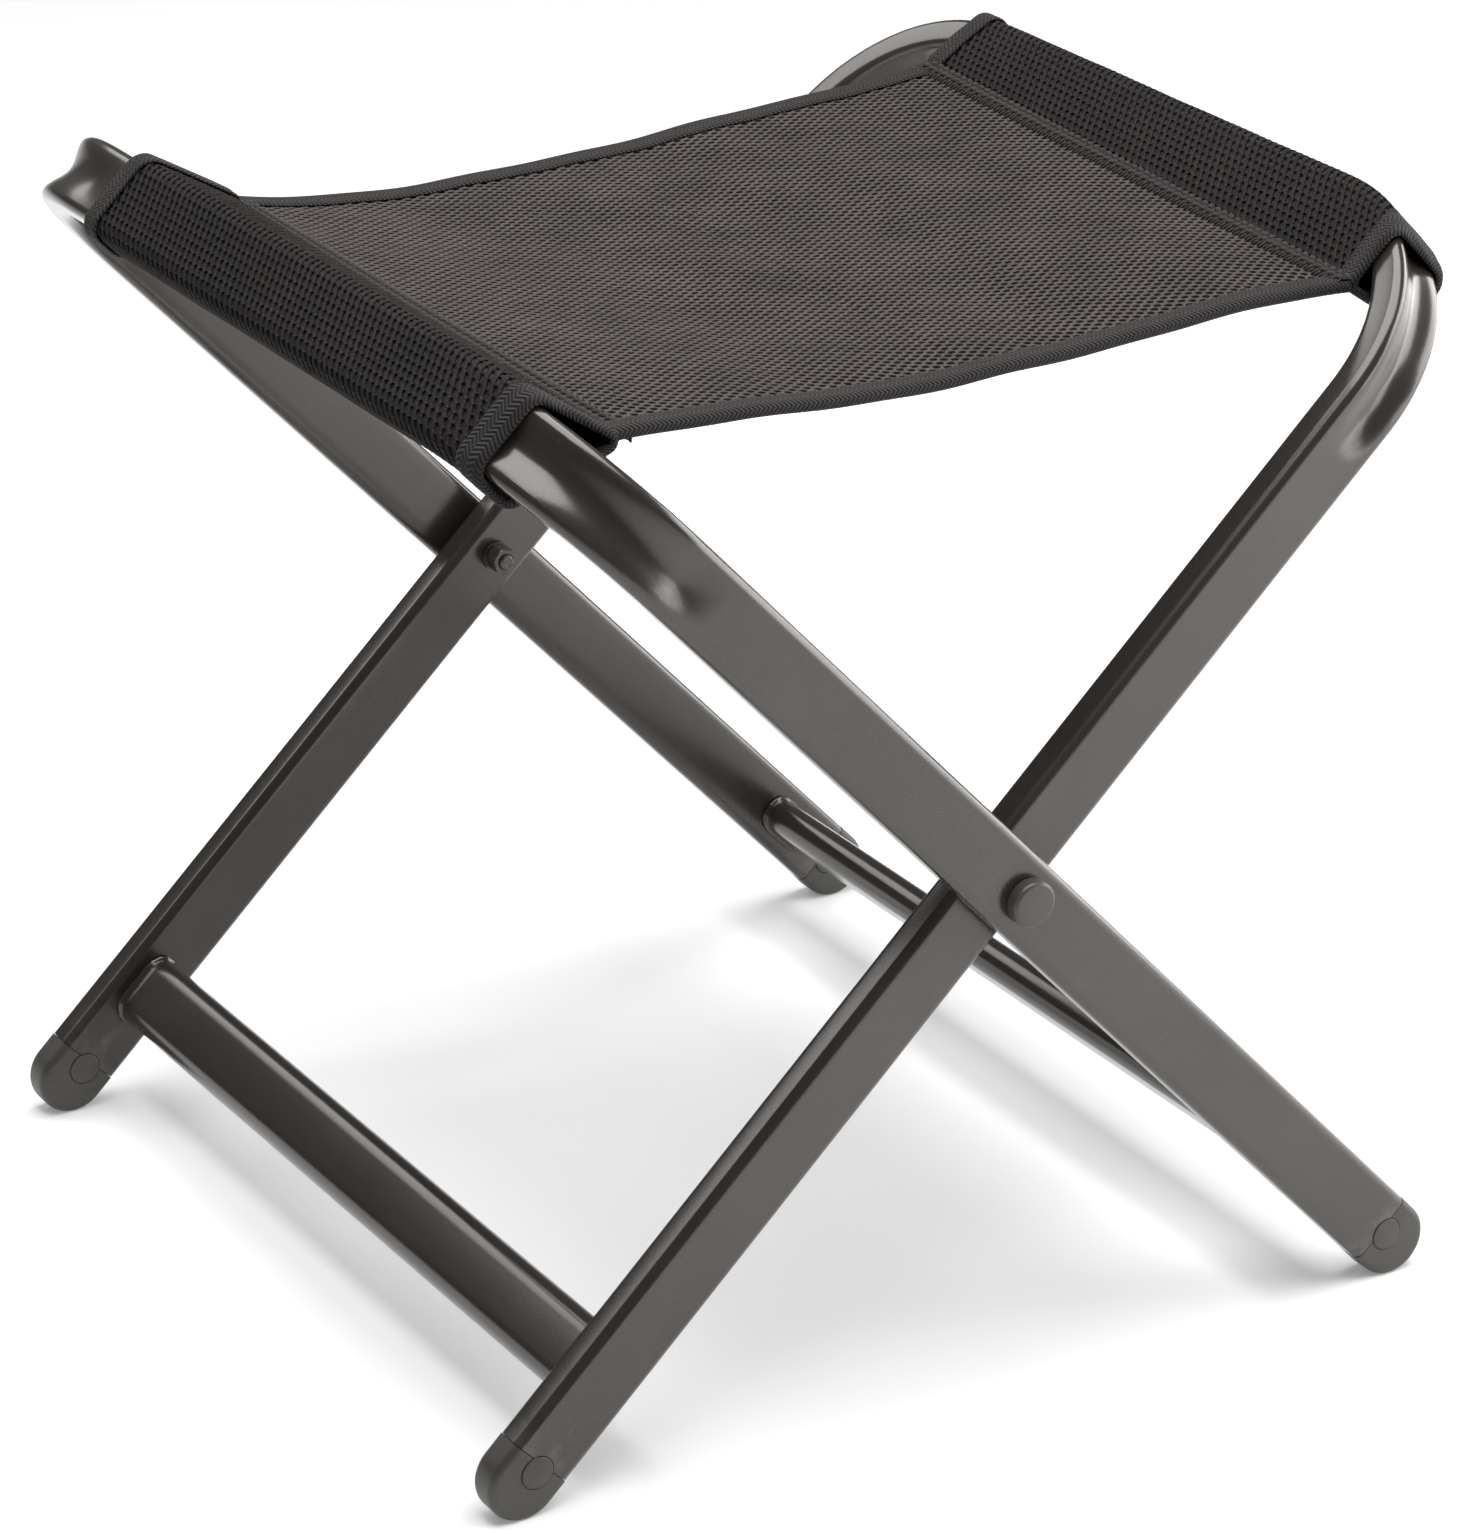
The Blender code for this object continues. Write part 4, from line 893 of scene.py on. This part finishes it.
x_columns = int(round((X_RIGHT - X_LEFT) / MESH_X))
MESH_SPAN = LEFT_SLEEVE_Y[1] - LEFT_SLEEVE_Y[0] - 0.0020 - 0.0060
y_cells = int(round(MESH_SPAN / MESH_Y))
for side in ("left", "right"):
    x_from, x_to = (X_LEFT, CREASE_X) if side == "left" else (CREASE_X, X_RIGHT)

    def keep(s, t, side=side):
        inside = (s > 0.0030) & (s < MESH_SPAN - 0.0030)
        return inside & ((t < CREASE_X) if side == "left" else (t >= CREASE_X))

    def place(s, t, lift):
        return panel_points(t, edge_y(t, False) + stretched(s), 0.0010 + lift), np.stack([t, s], 1)

    top = net(f"seat_panel_{side}_mesh", place, (0.0, MESH_SPAN, y_cells), (X_LEFT, X_RIGHT, x_columns), open_share, [MESH_YARN, HOLE_WALL_SHADE], keep=keep, depth=0.0011)
    xs = np.linspace(x_from, x_to, 61)
    grid_x, grid_v = np.meshgrid(xs, np.linspace(0.004, 0.996, 81))
    gx, gv = grid_x.ravel(), grid_v.ravel()
    gy = edge_y(gx, False) + gv * (edge_y(gx, True) - edge_y(gx, False))
    cloth = add_mesh(f"seat_panel_{side}_cloth", panel_points(gx, gy, np.full(len(gx), -0.0006)), np.array(loft((81, 61), False)), [BACKING], np.stack([gx, gy], 1))
    thicken(cloth, 0.0008)
    cloth.data.set_sharp_from_angle(angle=math.radians(40))
    blend_half(top)
    blend_half(cloth)
    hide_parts(f"seat_panel_{side}")
    for end, far in (("near", False), ("far", True)):
        inward = -1 if far else 1
        section = [(TAPE_W, 0.0012), (TAPE_W - 0.0006, 0.0019), (TAPE_W * 0.75, 0.0021), (TAPE_W * 0.5, 0.0021), (0.0034, 0.0021), (0.0024, 0.0023), (0.0012, 0.0023), (0.0002, 0.0019),
                   (-0.0006, 0.0010), (-0.0008, 0.0000), (-0.0006, -0.0010), (0.0002, -0.0019), (0.0012, -0.0022), (0.0030, -0.0021), (TAPE_W * 0.5, -0.0019), (TAPE_W * 0.8, -0.0019), (TAPE_W - 0.0004, -0.0014)]
        stations = np.linspace(x_from, x_to, 91)
        verts, uvs = [], []
        distance = 0.0
        for k, (d, out) in enumerate(section):
            if k:
                distance += math.hypot(d - section[k - 1][0], out - section[k - 1][1])
            wobble = 0.00022 * np.sin(stations * 260 + k * 0.4) * (1 if k < 4 else 0)
            y = edge_y(stations, far) + inward * (d + wobble)
            verts.append(panel_points(stations, y, np.full(91, out)))
            uvs.append(np.stack([stations, np.full(91, distance)], 1))
        tape = add_mesh(f"panel_binding_{side}_{end}_tape", np.concatenate(verts), np.array(loft((len(section), 91), False)), [TAPE], np.concatenate(uvs))
        outward(tape)
        thicken(tape, 0.0006)
        tape.data.set_sharp_from_angle(angle=math.radians(50))
        blend_half(tape)
        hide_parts(f"panel_binding_{side}_{end}")


# ------------------------------------------------------------------ stitched seams
def stitch_row(name, path, pitch, length, width, height, lean, material):
    """A row of separate lockstitches: short, fat, slightly slanted loops of thread along a path."""
    path = np.asarray(path, float)
    steps = np.concatenate([[0], np.cumsum(np.linalg.norm(np.diff(path[:, :3], axis=0), axis=1))])
    count = int(steps[-1] / pitch)
    verts, faces, uvs = [], [], []
    rings, sides = 7, 8
    for k in range(count):
        at = (k + 0.5) * pitch
        centre = np.array([np.interp(at, steps, path[:, c]) for c in range(3)])
        ahead = np.array([np.interp(at + 0.0005, steps, path[:, c]) for c in range(3)]) - np.array([np.interp(at - 0.0005, steps, path[:, c]) for c in range(3)])
        ahead /= np.linalg.norm(ahead)
        up = np.array([np.interp(at, steps, path[:, c]) for c in range(3, 6)])
        up -= ahead * (up @ ahead)
        up /= np.linalg.norm(up)
        across = np.cross(ahead, up)
        direction = ahead * math.cos(lean) + across * math.sin(lean)
        cross = np.cross(direction, up)
        offset = len(verts)
        for r in range(rings):
            f = r / (rings - 1) * 2 - 1
            profile = math.sqrt(max(0.0, 1 - f * f)) * 0.96 + 0.04
            for q in range(sides):
                a = 2 * math.pi * q / sides
                verts.append(centre + direction * (f * length / 2) + cross * (math.cos(a) * width / 2 * profile) + up * (math.sin(a) * height / 2 * profile - 0.3 * height * f * f))
                uvs.append((f * length / 2 + at, a * width / 2))
        for r in range(rings - 1):
            for q in range(sides):
                w = (q + 1) % sides
                faces.append((offset + r * sides + q, offset + r * sides + w, offset + (r + 1) * sides + w, offset + (r + 1) * sides + q))
        faces.append(tuple(offset + q for q in range(sides)))
        faces.append(tuple(offset + (rings - 1) * sides + q for q in range(sides)))
    return outward(add_mesh(name, verts, faces, [material], uvs))


def seam_place(side, y, inboard, lift):
    near, far, span = (LEFT_SEAM_NEAR, LEFT_SEAM_FAR, LEFT_SLEEVE_Y) if side == "left" else (RIGHT_SEAM_NEAR, RIGHT_SEAM_FAR, RIGHT_SLEEVE_Y)
    t = (y - span[0]) / (span[1] - span[0])
    direction = 1 if side == "left" else -1
    x = near[0] + (far[0] - near[0]) * t + direction * (SEAM_TIP + inboard)
    v = np.clip((y - edge_y(x, False)) / (edge_y(x, True) - edge_y(x, False)), 0, 1)
    z = panel_height(x, v)
    return np.stack([x, y, z + lift], -1) + PIVOT


for side, body in (("left", "outer_frame"), ("right", "inner_frame")):
    span = LEFT_SLEEVE_Y if side == "left" else RIGHT_SLEEVE_Y
    ys = np.linspace(span[0] + 0.0012, span[1] - 0.0012, 161)
    # a folded ridge of cloth, pulled in a little by every stitch
    outline = [(-0.0034, -0.0024), (-0.0030, 0.0006), (-0.0016, 0.0026), (0.0004, 0.0032), (0.0018, 0.0029), (0.0028, 0.0030), (0.0042, 0.0032), (0.0054, 0.0028), (0.0062, 0.0020), (0.0066, 0.0008), (0.0064, -0.0018)]
    verts, uvs = [], []
    distance = 0.0
    for k, (d, out) in enumerate(outline):
        if k:
            distance += math.hypot(d - outline[k - 1][0], out - outline[k - 1][1])
        pucker = 1.0 + 0.10 * np.sin(ys * 2 * math.pi / 0.0042 + (0.0 if k < 5 else 1.7))
        verts.append(seam_place(side, ys, d, out * pucker - (0.0018 if side == "left" else 0.0)))
        uvs.append(np.stack([ys, np.full(len(ys), distance)], 1))
    ridge = add_mesh(f"seam_strip_{side}_ridge", np.concatenate(verts), np.array(loft((len(outline), len(ys)), False)), [TAPE], np.concatenate(uvs))
    outward(ridge)
    thicken(ridge, 0.0006)
    finished(ridge, body, "binding_tape", f"seam_strip_{side}")
    for row, (inboard, lift, lean) in enumerate(((0.0005, 0.0036, 0.35), (0.0043, 0.0036, -0.35))):
        points = seam_place(side, ys, inboard, lift - (0.0018 if side == "left" else 0.0))
        path = np.concatenate([points, np.tile((0.0, 0.0, 1.0), (len(ys), 1))], 1)
        stitches = stitch_row(f"seam_{side}_stitches_{row + 1}", path, 0.0042, 0.0044, 0.0027, 0.0020, lean, THREAD)
        finished(stitches, body, "binding_tape")


# ------------------------------------------------------------------ floor, light and camera
floor_mesh = bpy.data.meshes.new("studio_floor")
floor_mesh.from_pydata([(-9, -9, 0), (9, -9, 0), (9, 9, 0), (-9, 9, 0)], [], [(0, 1, 2, 3)])
floor = bpy.data.objects.new("studio_floor", floor_mesh)
bpy.context.scene.collection.objects.link(floor)
floor_material, tree, shader = new_material("studio_paper")
paper = noise(tree, tree.nodes.new("ShaderNodeTexCoord").outputs["Object"], 3.0, 2.0)
tree.links.new(ramp(tree, paper, [(0.2, (0.86, 0.86, 0.86)), (0.8, (0.90, 0.90, 0.90))]), shader.inputs["Base Color"])
shader.inputs["Roughness"].default_value = 0.9
shader.inputs["Specular IOR Level"].default_value = 0.1
shader.inputs["Emission Color"].default_value = (1.0, 1.0, 1.0, 1.0)
shader.inputs["Emission Strength"].default_value = 0.20
floor_mesh.materials.append(floor_material)

world = bpy.data.worlds.new("studio")
bpy.context.scene.world = world
world.use_nodes = True
world.node_tree.nodes["Background"].inputs[0].default_value = (1.0, 0.995, 0.985, 1.0)
world.node_tree.nodes["Background"].inputs[1].default_value = 0.10


def softbox(name, place, target, size, power, spread=180.0):
    light = bpy.data.lights.new(name, "AREA")
    light.shape = "RECTANGLE"
    light.size, light.size_y = size
    light.energy = power
    light.spread = math.radians(spread)
    obj = bpy.data.objects.new(name, light)
    bpy.context.scene.collection.objects.link(obj)
    obj.location = place
    obj.rotation_euler = (Vector(target) - Vector(place)).to_track_quat("-Z", "Y").to_euler()
    obj.visible_camera = False
    return obj


softbox("overhead_softbox", (0.10, -0.10, 1.70), (0.10, -0.10, 0.0), (1.6, 1.8), 50.0)
softbox("back_softbox", (-0.9, 2.4, 2.25), (-0.1, 0.0, 0.25), (2.8, 1.0), 28.0)
softbox("right_softbox", (2.2, -0.6, 0.72), (0.0, -0.2, 0.35), (2.4, 1.2), 46.0)
softbox("low_front_softbox", (0.85, -0.95, 0.22), (0.12, -0.2, 0.10), (0.5, 0.3), 1.6)

camera_data = bpy.data.cameras.new("camera")
camera_data.sensor_fit = "HORIZONTAL"
camera_data.sensor_width = 36.0
camera_data.lens = 5518.75 / 1458 * 36.0
camera_data.clip_end = 50.0
camera = bpy.data.objects.new("camera", camera_data)
bpy.context.scene.collection.objects.link(camera)
right, up, back = (0.8456690, -0.5334277, 0.0172895), (0.2051024, 0.3547250, 0.9121969), (-0.4927241, -0.7678705, 0.4093872)
place = Vector((-1.0598415, -1.6574199, 0.8550853)) + Vector(PIVOT)
camera.matrix_world = Matrix(((right[0], up[0], back[0], place.x), (right[1], up[1], back[1], place.y), (right[2], up[2], back[2], place.z), (0, 0, 0, 1)))
bpy.context.scene.camera = camera
bpy.context.scene.view_settings.view_transform = "Standard"
